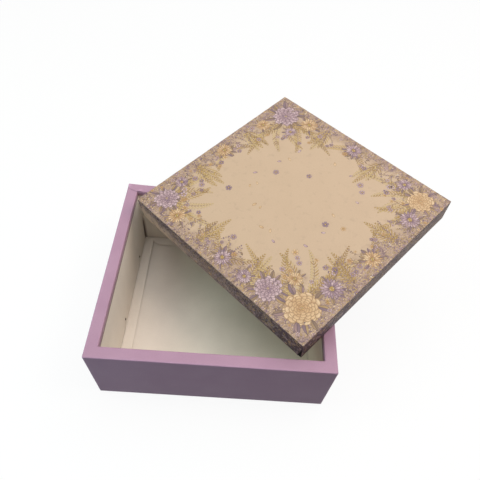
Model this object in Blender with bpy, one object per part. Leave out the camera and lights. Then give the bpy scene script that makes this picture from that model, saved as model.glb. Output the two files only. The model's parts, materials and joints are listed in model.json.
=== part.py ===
"""Hamper box: a thick-walled tray covered in paper, with a shallow printed lid laid askew on its rim.

Sizes are in metres and angles in degrees. X runs along the tray's width, Y runs to its back and Z
points up from the surface that it stands on. The origin is the middle of the tray's underside.
"""
import math

import bmesh
import bpy
from mathutils import Matrix, Vector

# Tray, measured outside over its cover paper
TRAY_WIDTH = 0.254
TRAY_DEPTH = 0.244
TRAY_HEIGHT = 0.089

# Thickness of each board and sheet, and the glue line between two of them
WALL_BOARD = 0.012
BOTTOM_BOARD = 0.003
COVER_PAPER = 0.00035
BASE_SHEET = 0.0006
LINING_CARD = 0.0006
LID_BOARD = 0.002
PRINT_PAPER = 0.00025
LID_LINING = 0.00025
GLUE_GAP = 0.0003

# Cover paper: its folds over the rim and under the bottom, and the sheet that hides its edges
COVER_FOLD = 0.00125
COVER_TURN_IN = 0.012
COVER_TURN_UNDER = 0.014
BASE_SHEET_MARGIN = 0.003

# Lining card of the tray: below the rim, round the fold, and out along the floor as a foot
LINING_DROP = 0.0057
LINING_FOLD = 0.0024
LINING_FOOT = 0.013
FOOT_CUT_BACK = 0.008

# Pins that hold the side linings, and brads that hold the wall boards
PIN_HEAD = 0.0021
PIN_DOME = 0.0005
PIN_SHANK = 0.001
PIN_LENGTH = 0.009
PIN_POINT = 0.0012
PIN_ABOVE_FLOOR = 0.0092
PIN_PLACE_SHARES = {"front": -0.32, "back": 0.583}
BRAD_HEAD = 0.002
BRAD_HEAD_LENGTH = 0.0007
BRAD_SHANK = 0.0014
BRAD_LENGTH = 0.025
BRAD_POINT = 0.002
BRAD_HEIGHT_SHARES = {"low": 0.22, "high": 0.78}

# Lid: its height, its slack over the tray, and the folds of its printed paper
LID_HEIGHT = 0.031
LID_CLEARANCE = 0.0004
PRINT_FOLD = 0.0008
PRINT_TURN_IN = 0.012
LID_LINING_MARGIN = 0.0025

# Lid's place as it lies on the rim: its turn and leans, and where its front corner is tucked in
LID_TURN = -43.23
LID_LEAN = 7.03
LID_TILT = -0.34
LID_CORNER_GAP = 0.003
LID_CORNER_SHARE = 0.79

# Fineness of the model
LEAST_ROUND = 0.0002
INNER_ROUND = 0.0004
HOLE_DEPTH_SPARE = 0.0005
FOLD_STEPS = 3
TURNED_STEPS = 12
MERGE_DISTANCE = 0.000001

# Layers of the tray's wall, as distances in from its outside
COVER = COVER_PAPER + GLUE_GAP
BOARD_INSIDE = COVER + WALL_BOARD
RIM = BOARD_INSIDE + COVER
LINING_BACK = RIM + GLUE_GAP
LINING_FACE = LINING_BACK + LINING_CARD

# Layers of the tray's bottom, as heights
UNDER_FOLD_Z = BASE_SHEET + GLUE_GAP
BOTTOM_BOARD_Z = UNDER_FOLD_Z + COVER_PAPER + GLUE_GAP
WALL_Z = BOTTOM_BOARD_Z + BOTTOM_BOARD + GLUE_GAP
FLOOR_TOP_Z = WALL_Z + LINING_CARD
FOOT_Z = FLOOR_TOP_Z + GLUE_GAP
WALL_TOP_Z = TRAY_HEIGHT - COVER

# Layers of the lid's wall and top, in the lid's own frame with its lower edge at height zero
PRINT = PRINT_PAPER + GLUE_GAP
LID_BOARD_INSIDE = PRINT + LID_BOARD
LID_RIM = LID_BOARD_INSIDE + PRINT
LID_LINING_FACE = LID_RIM + GLUE_GAP + LID_LINING
LID_WIDTH = TRAY_WIDTH + 2 * (LID_LINING_FACE + LID_CLEARANCE)
LID_DEPTH = TRAY_DEPTH + 2 * (LID_LINING_FACE + LID_CLEARANCE)
PANEL_Z = LID_HEIGHT - LID_BOARD_INSIDE
LID_WALL_TOP_Z = PANEL_Z - GLUE_GAP
PANEL_LINING_Z = PANEL_Z - GLUE_GAP - LID_LINING

# Finish of each kind of piece: sRGB colour, roughness, metallic
FINISHES = {
    "fibreboard": ("#B08E68", 0.85, 0.0),
    "greyboard": ("#A39C92", 0.90, 0.0),
    "lilac_paper": ("#B48EAA", 0.62, 0.0),
    "base_card": ("#CFC6BA", 0.80, 0.0),
    "cream_card": ("#D2C4B2", 0.75, 0.0),
    "printed_paper": ("#D0B698", 0.60, 0.0),
    "steel": ("#3A3531", 0.45, 1.0),
}


def clear_scene():
    """Remove every object that the file opened with."""
    for item in list(bpy.data.objects):
        bpy.data.objects.remove(item, do_unlink=True)


def linear(hex_colour):
    """Linear RGBA of an sRGB hex colour."""
    channels = [int(hex_colour[i:i + 2], 16) / 255 for i in (1, 3, 5)]
    curve = [c / 12.92 if c <= 0.04045 else ((c + 0.055) / 1.055) ** 2.4 for c in channels]
    return (*curve, 1.0)


def finish(item, kind):
    """Give a piece its own material of one kind of finish."""
    colour, roughness, metallic = FINISHES[kind]
    material = bpy.data.materials.new(item.name)
    material.use_nodes = True
    shader = material.node_tree.nodes["Principled BSDF"]
    shader.inputs["Base Color"].default_value = linear(colour)
    shader.inputs["Roughness"].default_value = roughness
    shader.inputs["Metallic"].default_value = metallic
    item.data.materials.append(material)


def piece(name, bm, kind, place=None, parent=None, smooth=False):
    """Turn a bmesh into a named object at its place, and free the bmesh."""
    bmesh.ops.recalc_face_normals(bm, faces=bm.faces)
    mesh = bpy.data.meshes.new(name)
    bm.to_mesh(mesh)
    bm.free()
    if smooth:
        mesh.shade_smooth()
        mesh.set_sharp_from_angle(angle=math.radians(40))
    item = bpy.data.objects.new(name, mesh)
    bpy.context.collection.objects.link(item)
    item.parent = parent
    item.matrix_local = place or Matrix.Identity(4)
    finish(item, kind)
    return item


def box(name, kind, low, high, parent=None, round_edges=None, edge_round=0.0):
    """A flat board or sheet between two corners, its origin at its middle."""
    low, high = Vector(low), Vector(high)
    bm = bmesh.new()
    bmesh.ops.create_cube(bm, size=1)
    bmesh.ops.scale(bm, vec=high - low, verts=bm.verts)
    if round_edges:
        chosen = [edge for edge in bm.edges if round_edges(*(v.co for v in edge.verts))]
        bmesh.ops.bevel(bm, geom=chosen, offset=edge_round, segments=FOLD_STEPS, profile=0.5,
                        affect="EDGES", material=-1)
    return piece(name, bm, kind, Matrix.Translation((low + high) / 2), parent)


def loop_round(inset, corner_round, inner_start):
    """Corner radius, in plan, of a loop of folded paper at a distance in from the outside."""
    if inset < inner_start:
        return max(corner_round - inset, LEAST_ROUND)
    return INNER_ROUND


def plan_loop(half_x, half_y, radius, z):
    """Corners of a rectangle with rounded corners, at a height, as one closed run of points."""
    corners = [(1, 1, 0), (-1, 1, 90), (-1, -1, 180), (1, -1, 270)]
    points = []
    for side_x, side_y, start in corners:
        for step in range(FOLD_STEPS + 1):
            angle = math.radians(start + 90 * step / FOLD_STEPS)
            x = side_x * (half_x - radius) + radius * math.cos(angle)
            y = side_y * (half_y - radius) + radius * math.sin(angle)
            points.append(Vector((x, y, z)))
    return points


def extruded(bm, verts, points):
    """Extrude a closed loop of verts to a new run of points, and return its verts in order."""
    edges = [bm.edges.get((verts[i - 1], verts[i])) for i in range(len(verts))]
    made = bmesh.ops.extrude_edge_only(bm, edges=edges)["geom"]
    fresh = {item for item in made if isinstance(item, bmesh.types.BMVert)}
    loop = [next(edge.other_vert(vert) for edge in vert.link_edges if edge.other_vert(vert) in fresh)
            for vert in verts]
    for vert, point in zip(loop, points):
        vert.co = point
    return loop


def folded(corners, radius):
    """A path through right-angled corners, each rounded by an arc, as points (inset, height)."""
    path = [corners[0]]
    for before, corner, after in zip(corners, corners[1:], corners[2:]):
        corner = Vector(corner)
        back = (Vector(before) - corner).normalized()
        ahead = (Vector(after) - corner).normalized()
        centre = corner + (back + ahead) * radius
        for step in range(FOLD_STEPS + 1):
            angle = math.pi / 2 * step / FOLD_STEPS
            path.append(centre - ahead * radius * math.cos(angle) - back * radius * math.sin(angle))
    path.append(corners[-1])
    return path


def wrapped(bm, path, width, depth, corner_round, inner_start):
    """Paper with one loop for each point of a path, and return its first and last loop of verts."""
    runs = []
    for inset, z in path:
        radius = loop_round(inset, corner_round, inner_start)
        runs.append(plan_loop(width / 2 - inset, depth / 2 - inset, radius, z))
    first = [bm.verts.new(point) for point in runs[0]]
    for i in range(len(first)):
        bm.edges.new((first[i - 1], first[i]))
    last = first
    for run in runs[1:]:
        last = extruded(bm, last, run)
    return first, last


def turned(name, kind, profile, place, parent=None):
    """A round piece: its profile, as points (radius, height), turned about Z."""
    bm = bmesh.new()
    verts = [bm.verts.new((radius, 0, z)) for radius, z in profile]
    edges = [bm.edges.new(pair) for pair in zip(verts, verts[1:])]
    bmesh.ops.spin(bm, geom=verts + edges, axis=(0, 0, 1), cent=(0, 0, 0), angle=math.tau,
                   steps=TURNED_STEPS, use_merge=True)
    bmesh.ops.remove_doubles(bm, verts=bm.verts, dist=MERGE_DISTANCE)
    return piece(name, bm, kind, place, parent, smooth=True)


def facing(direction, point):
    """A place at a point, with its own Z along a direction."""
    turn = Vector(direction).to_track_quat("Z", "Y").to_matrix().to_4x4()
    return Matrix.Translation(point) @ turn


def drill(item, holes):
    """Cut round holes into a piece: each is its mouth's place, its radius and its depth."""
    bm = bmesh.new()
    for place, radius, depth in holes:
        middle = place @ Matrix.Translation((0, 0, -depth / 2 + HOLE_DEPTH_SPARE / 2))
        bmesh.ops.create_cone(bm, cap_ends=True, segments=TURNED_STEPS, radius1=radius,
                              radius2=radius, depth=depth + HOLE_DEPTH_SPARE, matrix=middle)
    bmesh.ops.recalc_face_normals(bm, faces=bm.faces)
    mesh = bpy.data.meshes.new("cut_" + item.name)
    bm.to_mesh(mesh)
    bm.free()
    cutter = bpy.data.objects.new("cut_" + item.name, mesh)
    bpy.context.collection.objects.link(cutter)
    cutter.hide_render = True
    cutter.display_type = "WIRE"
    modifier = item.modifiers.new("holes", "BOOLEAN")
    modifier.operation = "DIFFERENCE"
    modifier.solver = "EXACT"
    modifier.object = cutter


def brad_places():
    """Mouth of each corner brad's hole, by the name of its corner and height."""
    reach = TRAY_WIDTH / 2 - COVER - WALL_BOARD / 2
    face = TRAY_DEPTH / 2 - COVER
    places = {}
    for end, side_y in (("front", -1), ("back", 1)):
        for side, side_x in (("left", -1), ("right", 1)):
            for level, share in BRAD_HEIGHT_SHARES.items():
                z = WALL_Z + share * (WALL_TOP_Z - WALL_Z)
                mouth = (side_x * reach, side_y * face, z)
                places[end, side, level] = facing((0, side_y, 0), mouth)
    return places


def pin_places():
    """Seat of each lining pin's head, by the name of its wall and end."""
    face = TRAY_WIDTH / 2 - LINING_FACE
    run = TRAY_DEPTH / 2 - LINING_FACE
    places = {}
    for side, side_x in (("left", -1), ("right", 1)):
        for end, share in PIN_PLACE_SHARES.items():
            seat = (side_x * face, share * run, FLOOR_TOP_Z + PIN_ABOVE_FLOOR)
            places[side, end] = facing((-side_x, 0, 0), seat)
    return places


def make_wall_boards():
    """Four fibreboard walls: the front and back run the full width, the sides stand between them."""
    half_x = TRAY_WIDTH / 2 - COVER
    half_y = TRAY_DEPTH / 2 - COVER
    brads = brad_places()
    pins = pin_places()
    brad_hole = BRAD_HEAD / 2 + GLUE_GAP
    pin_hole = PIN_SHANK / 2 + GLUE_GAP
    edge_round = COVER_FOLD - COVER

    for end, side_y in (("front", -1), ("back", 1)):
        def outer_edge(a, b):
            top = a.z > 0 and b.z > 0
            upright = a.z * b.z < 0 and a.y * side_y > 0
            return top or upright

        rows = sorted((side_y * half_y, side_y * (half_y - WALL_BOARD)))
        board = box("tray_%s_board" % end, "fibreboard", (-half_x, rows[0], WALL_Z),
                    (half_x, rows[1], WALL_TOP_Z), None, outer_edge, edge_round)
        drill(board, [(place, brad_hole, WALL_BOARD + HOLE_DEPTH_SPARE)
                      for key, place in brads.items() if key[0] == end])

    run = half_y - WALL_BOARD - GLUE_GAP
    for side, side_x in (("left", -1), ("right", 1)):
        def long_top_edge(a, b):
            return a.z > 0 and b.z > 0 and a.y * b.y < 0

        rows = sorted((side_x * half_x, side_x * (half_x - WALL_BOARD)))
        board = box("tray_%s_board" % side, "fibreboard", (rows[0], -run, WALL_Z),
                    (rows[1], run, WALL_TOP_Z), None, long_top_edge, edge_round)
        holes = [(place, brad_hole, BRAD_LENGTH + GLUE_GAP)
                 for key, place in brads.items() if key[1] == side]
        holes += [(place, pin_hole, PIN_LENGTH + GLUE_GAP)
                  for key, place in pins.items() if key[0] == side]
        drill(board, holes)


def make_bottom():
    """Bottom board under the walls, the card on the floor, and the sheet that closes the underside."""
    half_x = TRAY_WIDTH / 2 - COVER
    half_y = TRAY_DEPTH / 2 - COVER

    def outer_edge(a, b):
        return (a.z < 0 and b.z < 0) or a.z * b.z < 0

    box("tray_bottom_board", "fibreboard", (-half_x, -half_y, BOTTOM_BOARD_Z),
        (half_x, half_y, BOTTOM_BOARD_Z + BOTTOM_BOARD), None, outer_edge, COVER_FOLD - COVER)
    inset = WALL_BOARD + GLUE_GAP
    box("tray_floor_card", "cream_card", (inset - half_x, inset - half_y, WALL_Z),
        (half_x - inset, half_y - inset, FLOOR_TOP_Z))
    margin = BASE_SHEET_MARGIN - COVER
    box("tray_base_sheet", "base_card", (margin - half_x, margin - half_y, 0),
        (half_x - margin, half_y - margin, BASE_SHEET))


def make_cover_paper():
    """Lilac paper round the tray: turned under the bottom, up the walls, over the rim and in."""
    outer = folded([(COVER_TURN_UNDER, UNDER_FOLD_Z), (0, UNDER_FOLD_Z), (0, TRAY_HEIGHT),
                    (RIM, TRAY_HEIGHT), (RIM, TRAY_HEIGHT - COVER_TURN_IN)], COVER_FOLD)
    t = COVER_PAPER
    inner = folded([(COVER_TURN_UNDER, UNDER_FOLD_Z + t), (t, UNDER_FOLD_Z + t),
                    (t, TRAY_HEIGHT - t), (RIM - t, TRAY_HEIGHT - t),
                    (RIM - t, TRAY_HEIGHT - COVER_TURN_IN)], COVER_FOLD - t)
    bm = bmesh.new()
    closed = outer + inner[::-1] + outer[:1]
    wrapped(bm, closed, TRAY_WIDTH, TRAY_DEPTH, COVER_FOLD, RIM / 2)
    bmesh.ops.remove_doubles(bm, verts=bm.verts, dist=MERGE_DISTANCE)
    piece("tray_cover_paper", bm, "lilac_paper")


def lining_section():
    """Outline of a lining card across its wall, as points (inset, height): wall, fold and foot."""
    t = LINING_CARD
    top = TRAY_HEIGHT - LINING_DROP
    toe = LINING_FACE + LINING_FOOT
    face = folded([(LINING_FACE, top), (LINING_FACE, FOOT_Z + t), (toe, FOOT_Z + t)], LINING_FOLD)
    back = folded([(LINING_BACK, top), (LINING_BACK, FOOT_Z), (toe, FOOT_Z)], LINING_FOLD + t)
    return face + back[::-1]


def make_lining(name, half_run, half_across, cut_back, side, along_x):
    """One lining card: its section run along its wall, with its ends cut back along the foot."""
    bm = bmesh.new()
    verts = []
    for inset, z in lining_section():
        along = half_run - LINING_BACK - GLUE_GAP - cut_back * (inset - LINING_BACK)
        across = side * (half_across - inset)
        verts.append(bm.verts.new((along, across, z) if along_x else (across, along, z)))
    end = bm.faces.new(verts)
    made = bmesh.ops.extrude_face_region(bm, geom=[end], use_keep_orig=True)["geom"]
    for vert in made:
        if isinstance(vert, bmesh.types.BMVert):
            vert.co *= Vector((-1, 1, 1)) if along_x else Vector((1, -1, 1))
    return piece(name, bm, "cream_card")


def make_linings():
    """Cream card on the four inner walls, its feet mitred where they meet on the floor."""
    side_cut = FOOT_CUT_BACK / LINING_FOOT
    pins = pin_places()
    for name, side in (("front", -1), ("back", 1)):
        make_lining("tray_%s_lining" % name, TRAY_WIDTH / 2, TRAY_DEPTH / 2, 1 / side_cut, side, True)
    for name, side in (("left", -1), ("right", 1)):
        lining = make_lining("tray_%s_lining" % name, TRAY_DEPTH / 2, TRAY_WIDTH / 2, side_cut,
                             side, False)
        drill(lining, [(place, PIN_SHANK / 2 + GLUE_GAP, LINING_FACE - BOARD_INSIDE)
                       for key, place in pins.items() if key[0] == name])


def make_pins():
    """Small dark pins through the side linings into the wall boards."""
    dome = [(PIN_HEAD / 2 * math.sin(a), PIN_DOME * math.cos(a))
            for a in (math.pi / 2 * step / FOLD_STEPS for step in range(FOLD_STEPS + 1))]
    shank = [(PIN_SHANK / 2, 0), (PIN_SHANK / 2, PIN_POINT - PIN_LENGTH), (0, -PIN_LENGTH)]
    for (side, end), place in pin_places().items():
        seated = place @ Matrix.Translation((0, 0, GLUE_GAP))
        turned("lining_pin_%s_%s" % (side, end), "steel", dome + shank, seated)


def make_brads():
    """Brads through the front and back boards into the ends of the side boards."""
    neck = -BRAD_HEAD_LENGTH - (BRAD_HEAD - BRAD_SHANK) / 2
    profile = [(0, 0), (BRAD_HEAD / 2, 0), (BRAD_HEAD / 2, -BRAD_HEAD_LENGTH),
               (BRAD_SHANK / 2, neck), (BRAD_SHANK / 2, BRAD_POINT - BRAD_LENGTH), (0, -BRAD_LENGTH)]
    for (end, side, level), place in brad_places().items():
        turned("corner_brad_%s_%s_%s" % (end, side, level), "steel", profile, place)


def make_lid_boards(lid):
    """Greyboard panel of the lid, and the four strips that hang under its edges."""
    half_x = LID_WIDTH / 2 - PRINT
    half_y = LID_DEPTH / 2 - PRINT
    edge_round = PRINT_FOLD - PRINT

    def outer_edge(a, b):
        return (a.z > 0 and b.z > 0) or a.z * b.z < 0

    box("lid_panel_board", "greyboard", (-half_x, -half_y, PANEL_Z),
        (half_x, half_y, PANEL_Z + LID_BOARD), lid, outer_edge, edge_round)

    for end, side_y in (("front", -1), ("back", 1)):
        def end_edge(a, b):
            lower = a.z < 0 and b.z < 0
            upright = a.z * b.z < 0 and a.y * side_y > 0
            return lower or upright

        rows = sorted((side_y * half_y, side_y * (half_y - LID_BOARD)))
        box("lid_%s_board" % end, "greyboard", (-half_x, rows[0], PRINT),
            (half_x, rows[1], LID_WALL_TOP_Z), lid, end_edge, edge_round)

    run = half_y - LID_BOARD - GLUE_GAP
    for side, side_x in (("left", -1), ("right", 1)):
        def long_lower_edge(a, b):
            return a.z < 0 and b.z < 0 and a.y * b.y < 0

        rows = sorted((side_x * half_x, side_x * (half_x - LID_BOARD)))
        box("lid_%s_board" % side, "greyboard", (rows[0], -run, PRINT),
            (rows[1], run, LID_WALL_TOP_Z), lid, long_lower_edge, edge_round)


def make_print_sheet(lid):
    """Printed paper of the lid: one sheet over the top, down the sides, round the edge and in."""
    t = PRINT_PAPER
    start = 2 * PRINT_FOLD
    outer = folded([(start, LID_HEIGHT), (0, LID_HEIGHT), (0, 0), (LID_RIM, 0),
                    (LID_RIM, PRINT_TURN_IN)], PRINT_FOLD)[1:]
    inner = folded([(start, LID_HEIGHT - t), (t, LID_HEIGHT - t), (t, t), (LID_RIM - t, t),
                    (LID_RIM - t, PRINT_TURN_IN)], PRINT_FOLD - t)[1:]
    bm = bmesh.new()
    ends = wrapped(bm, outer + inner[::-1], LID_WIDTH, LID_DEPTH, PRINT_FOLD, LID_RIM / 2)
    for end in ends:
        bmesh.ops.contextual_create(bm, geom=end)
    piece("lid_print_sheet", bm, "printed_paper", None, lid)


def make_lid_linings(lid):
    """Thin cream paper inside the lid, on its panel and on its four sides."""
    panel_x = LID_WIDTH / 2 - LID_BOARD_INSIDE - GLUE_GAP
    panel_y = LID_DEPTH / 2 - LID_BOARD_INSIDE - GLUE_GAP
    box("lid_panel_lining", "cream_card", (-panel_x, -panel_y, PANEL_LINING_Z),
        (panel_x, panel_y, PANEL_LINING_Z + LID_LINING), lid)
    half_x = LID_WIDTH / 2 - LID_RIM - GLUE_GAP
    half_y = LID_DEPTH / 2 - LID_RIM - GLUE_GAP
    top = PANEL_LINING_Z - GLUE_GAP
    for end, side_y in (("front", -1), ("back", 1)):
        rows = sorted((side_y * half_y, side_y * (half_y - LID_LINING)))
        box("lid_%s_lining" % end, "cream_card", (-half_x, rows[0], LID_LINING_MARGIN),
            (half_x, rows[1], top), lid)
    run = half_y - LID_LINING - GLUE_GAP
    for side, side_x in (("left", -1), ("right", 1)):
        rows = sorted((side_x * half_x, side_x * (half_x - LID_LINING)))
        box("lid_%s_lining" % side, "cream_card", (rows[0], -run, LID_LINING_MARGIN),
            (rows[1], run, top), lid)


def rectangle(half_x, half_y):
    """The four sides of a rectangle about the origin, each as a pair of corners."""
    corners = [Vector((x * half_x, y * half_y, 0)) for x, y in ((-1, -1), (1, -1), (1, 1), (-1, 1))]
    return [(corners[i - 1], corners[i]) for i in range(len(corners))]


def crossing(one, other):
    """Point of the first side that lies above or below the second in plan, or None."""
    run, cross = one[1] - one[0], other[1] - other[0]
    gap = other[0] - one[0]
    area = run.x * cross.y - run.y * cross.x
    if not area:
        return None
    share = (gap.x * cross.y - gap.y * cross.x) / area
    share_across = (gap.x * run.y - gap.y * run.x) / area
    if 0 <= share <= 1 and 0 <= share_across <= 1:
        return one[0] + run * share
    return None


def lid_place():
    """The lid's frame as it lies on the rim: turned, leaning, its front corner inside the tray.

    Its lower edges are lifted until the one that crosses the rim lowest clears it by a glue gap.
    """
    turn = Matrix.Rotation(math.radians(LID_TURN), 4, "Z")
    lean = Matrix.Rotation(math.radians(LID_LEAN), 4, "X")
    tilt = Matrix.Rotation(math.radians(LID_TILT), 4, "Y")
    turned_frame = turn @ lean @ tilt
    corner = turned_frame @ Vector((LID_WIDTH / 2, -LID_DEPTH / 2, 0))
    tucked = Vector((LID_CORNER_SHARE * (TRAY_WIDTH / 2 - RIM),
                     LID_CORNER_GAP + RIM - TRAY_DEPTH / 2, 0))
    shift = Matrix.Translation((tucked.x - corner.x, tucked.y - corner.y, 0))
    flat_frame = shift @ turned_frame

    heights = []
    for inset in (0, LID_RIM):
        for side in rectangle(LID_WIDTH / 2 - inset, LID_DEPTH / 2 - inset):
            edge = [flat_frame @ end for end in side]
            for rim_inset in (0, RIM):
                for rim in rectangle(TRAY_WIDTH / 2 - rim_inset, TRAY_DEPTH / 2 - rim_inset):
                    point = crossing(edge, rim)
                    if point:
                        heights.append(point.z)
    lift = TRAY_HEIGHT + GLUE_GAP - min(heights, default=0)
    return Matrix.Translation((0, 0, lift)) @ flat_frame


def make_lid():
    """The lid's pieces, on an empty at the middle of its lower edge."""
    lid = bpy.data.objects.new("lid_frame", None)
    bpy.context.collection.objects.link(lid)
    lid.matrix_world = lid_place()
    make_lid_boards(lid)
    make_print_sheet(lid)
    make_lid_linings(lid)


def main():
    clear_scene()
    make_wall_boards()
    make_bottom()
    make_cover_paper()
    make_linings()
    make_pins()
    make_brads()
    make_lid()
    bpy.context.view_layer.update()


main()
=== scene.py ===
"""Looks of the hamper box: its cover paper, card linings and printed lid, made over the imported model.

Lengths are in metres, and the print's plants are drawn in millimetres. The file is laid out as an
add-on and is run as a script.
"""

import json
import math
import random
from functools import partial

import bmesh
import bpy
from bpy.props import FloatProperty, FloatVectorProperty, IntProperty, PointerProperty
from mathutils import Matrix, Vector, noise


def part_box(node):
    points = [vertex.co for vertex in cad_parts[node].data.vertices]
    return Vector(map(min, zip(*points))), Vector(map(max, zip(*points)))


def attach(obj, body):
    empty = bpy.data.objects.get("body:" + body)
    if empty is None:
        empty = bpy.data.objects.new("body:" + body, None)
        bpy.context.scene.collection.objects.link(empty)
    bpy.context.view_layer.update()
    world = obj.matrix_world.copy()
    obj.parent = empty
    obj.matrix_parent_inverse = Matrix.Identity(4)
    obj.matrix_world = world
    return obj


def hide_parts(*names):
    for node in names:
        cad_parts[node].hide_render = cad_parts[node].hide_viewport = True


bl_info = {
    "name": "Hamper box",
    "version": (1, 0, 0),
    "blender": (4, 5, 0),
    "location": "3D View > Sidebar > Hamper box",
    "description": "Makes the papers, linings and printed lid of a hamper box over its packed model",
    "category": "Object",
}

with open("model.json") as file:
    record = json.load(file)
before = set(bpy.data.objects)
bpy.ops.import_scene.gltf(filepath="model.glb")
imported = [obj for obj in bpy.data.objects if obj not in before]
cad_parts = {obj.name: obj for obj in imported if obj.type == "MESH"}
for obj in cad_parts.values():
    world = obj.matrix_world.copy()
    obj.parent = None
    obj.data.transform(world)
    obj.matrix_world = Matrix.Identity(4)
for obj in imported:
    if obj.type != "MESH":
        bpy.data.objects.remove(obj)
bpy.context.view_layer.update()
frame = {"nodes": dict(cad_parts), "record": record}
MM = 0.001
QUARTER = math.pi / 2
UP = Vector((0, 0, 1))

# Gap that the CAD leaves between glued pieces
GLUE_LINE = 0.3 * MM

# Points closer than this are taken for one, and an edge that bends more than this stays sharp
CLOSE = 0.001 * MM
SHARP_FROM = math.radians(35)


def linear(hex_colour):
    """Linear RGBA of an sRGB hex colour."""
    channels = [int(hex_colour[i:i + 2], 16) / 255 for i in (1, 3, 5)]
    return (*(c / 12.92 if c <= 0.04045 else ((c + 0.055) / 1.055) ** 2.4 for c in channels), 1.0)


def length(name, description, default):
    """A property for a length."""
    return FloatProperty(
        name=name, description=description, default=default, min=0, unit="LENGTH", precision=5)


def colour(name, description, hex_colour):
    """A property for a colour."""
    return FloatVectorProperty(name=name, description=description, default=linear(hex_colour), size=4,
                               subtype="COLOR", min=0, max=1)


def power(name, description, watts):
    """A property for a lamp's power."""
    return FloatProperty(name=name, description=description, default=watts, min=0, subtype="POWER")


class CoverPaperSettings(bpy.types.PropertyGroup):
    """Sizes and colours of the tray's cover paper"""

    thickness: length("Paper", "Thickness of the cover paper", 0.35 * MM)
    fold: length("Fold", "Radius of the paper where it goes over an edge of the board", 1.25 * MM)
    inner_fold: length("Inner fold", "Radius in the tray's inner corners", 0.4 * MM)
    ripple: length("Ripple", "Deepest unevenness of the hand-laid paper", 0.12 * MM)
    cut: length("Cut", "Spacing of the cuts that let the paper ripple", 7 * MM)
    lap_run: length("Lap", "Length of the overlap at the back left corner of the rim", 30 * MM)
    lap_lift: length("Lap lift", "How far the overlap's edge stands off the rim", 0.55 * MM)
    tint: colour("Paper colour", "Colour of the lilac paper", "#A98299")
    # colour of the folds: lighter, partly from dye rubbed off and partly as a painted highlight
    crest: colour("Fold colour", "Colour where the dye is rubbed on the folds", "#C29AB5")


class LiningSettings(bpy.types.PropertyGroup):
    """Sizes and colours of the tray's linings and of the pins that hold them"""

    thickness: length("Card", "Thickness of the lining card", 0.6 * MM)
    fold: length("Fold", "Radius of the fold between the wall and the foot", 1.0 * MM)
    ripple: length("Ripple", "Deepest waviness of the card", 0.35 * MM)
    brushing: length("Brushing", "Depth of the furrows left where the card was rubbed down", 0.12 * MM)
    foot_lift: length("Foot lift", "How far the left foot's edge has sprung up at the back", 3 * MM)
    corner_slit: length("Corner slit", "Width of the open joint low in the back left corner", 2 * MM)
    come_forward: length("Come forward", "How far the back lining stands forward at the floor", 2.6 * MM)
    crease: length("Crease", "Height of the creases that run out from a pin", 0.35 * MM)
    pin_head: length("Pin head", "Radius of the pins' heads", 1.7 * MM)
    pin_dome: length("Pin dome", "Height of the pins' domed heads", 1.4 * MM)
    tint: colour("Card colour", "Colour of the cream card", "#EAE0D4")
    # colour of the shade painted along the card's top edge and fold, round the pins and in the back left
    # corner joint
    card_shade: colour("Soil colour", "Colour of the dust in the folds", "#84756C")


class LidPaperSettings(bpy.types.PropertyGroup):
    """Sizes and colours of the lid's printed sheet"""

    thickness: length("Paper", "Thickness of the printed paper", 0.25 * MM)
    fold: length("Fold", "Radius of the paper over the lid's edges", 0.8 * MM)
    turn_in: length("Turn-in", "Height of the paper turned up inside the lid", 12 * MM)
    ink_room: length("Ink room", "Room left over the sheet for the raised ink", 0.15 * MM)
    ripple: length("Ripple", "Deepest unevenness of the sheet", 0.1 * MM)
    wedge: length("Wedge", "Width at the bottom of the open joint at the front corner", 4.6 * MM)
    seed: IntProperty(name="Seed", description="Picks the scatter of the printed plants", default=11)
    ground: colour("Ground", "Colour of the sheet's unprinted ground", "#C8AD92")
    shade: colour("Shade", "Colour of the printed shadow under the plants", "#9C8170")
    side_shade: colour("Side shade", "Colour of the printed shadow on the sides", "#62566A")


class StageSettings(bpy.types.PropertyGroup):
    """The camera, the lamps and the floor"""

    lens: FloatProperty(name="Lens", description="Focal length on a 36 mm sensor, in millimetres",
                        default=33.507, min=1)
    camera_place: FloatVectorProperty(name="Camera place", description="Where the camera stands",
                                      default=(0.0172, -0.3048, 0.4979), subtype="TRANSLATION")
    camera_turn: FloatVectorProperty(name="Camera turn", description="How the camera is turned",
                                     default=tuple(math.radians(a) for a in (33.863, -3.919, 2.196)),
                                     subtype="EULER")
    shift: FloatVectorProperty(name="Shift", description="Share of the frame that the view is shifted",
                               default=(-0.0208, 0.1042), size=2)
    ceiling_power: power("Ceiling lamp", "Power of the wide lamp overhead", 30.5)
    left_power: power("Left lamp", "Power of the lamp up on the left", 8)
    right_power: power("Right lamp", "Power of the lamp up on the right", 4.6)
    cool_power: power("Cool lamp", "Power of the small cool lamp low at the front left", 0.9)
    fill: FloatProperty(name="Fill", description="Strength of the light from all round",
                        default=0.115, min=0)
    floor_half: length("Floor", "Half the width of the floor", 3.0)
    floor_tint: colour("Floor colour", "Colour that the floor throws back on the box", "#525252")


# Small tools


def set_inputs(node, inputs):
    """Set or link a node's inputs: by name, or a tuple of them in the order of its enabled sockets.

    A value that is itself a node stands for that node's first enabled output.
    """
    if isinstance(inputs, dict):
        pairs = [(node.inputs[name], value) for name, value in inputs.items()]
    else:
        pairs = zip([socket for socket in node.inputs if socket.enabled], inputs)
    for socket, value in pairs:
        if isinstance(value, bpy.types.Node):
            value = next(output for output in value.outputs if output.enabled)
        if isinstance(value, bpy.types.NodeSocket):
            node.id_data.links.new(value, socket)
        else:
            socket.default_value = value


def add_node(tree, kind, inputs=(), stops=(), **settings):
    """Add a node with its settings and its inputs, and give a ramp its stops of hex colours."""
    made = tree.nodes.new("ShaderNode" + kind)
    for name, value in settings.items():
        setattr(made, name, value)
    set_inputs(made, inputs)
    if stops:
        ramp = made.color_ramp.elements
        while len(ramp) < len(stops):
            ramp.new(0.5)
        for element, (place, hex_colour) in zip(ramp, stops):
            element.position = place
            element.color = linear(hex_colour)
    return made


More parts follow.
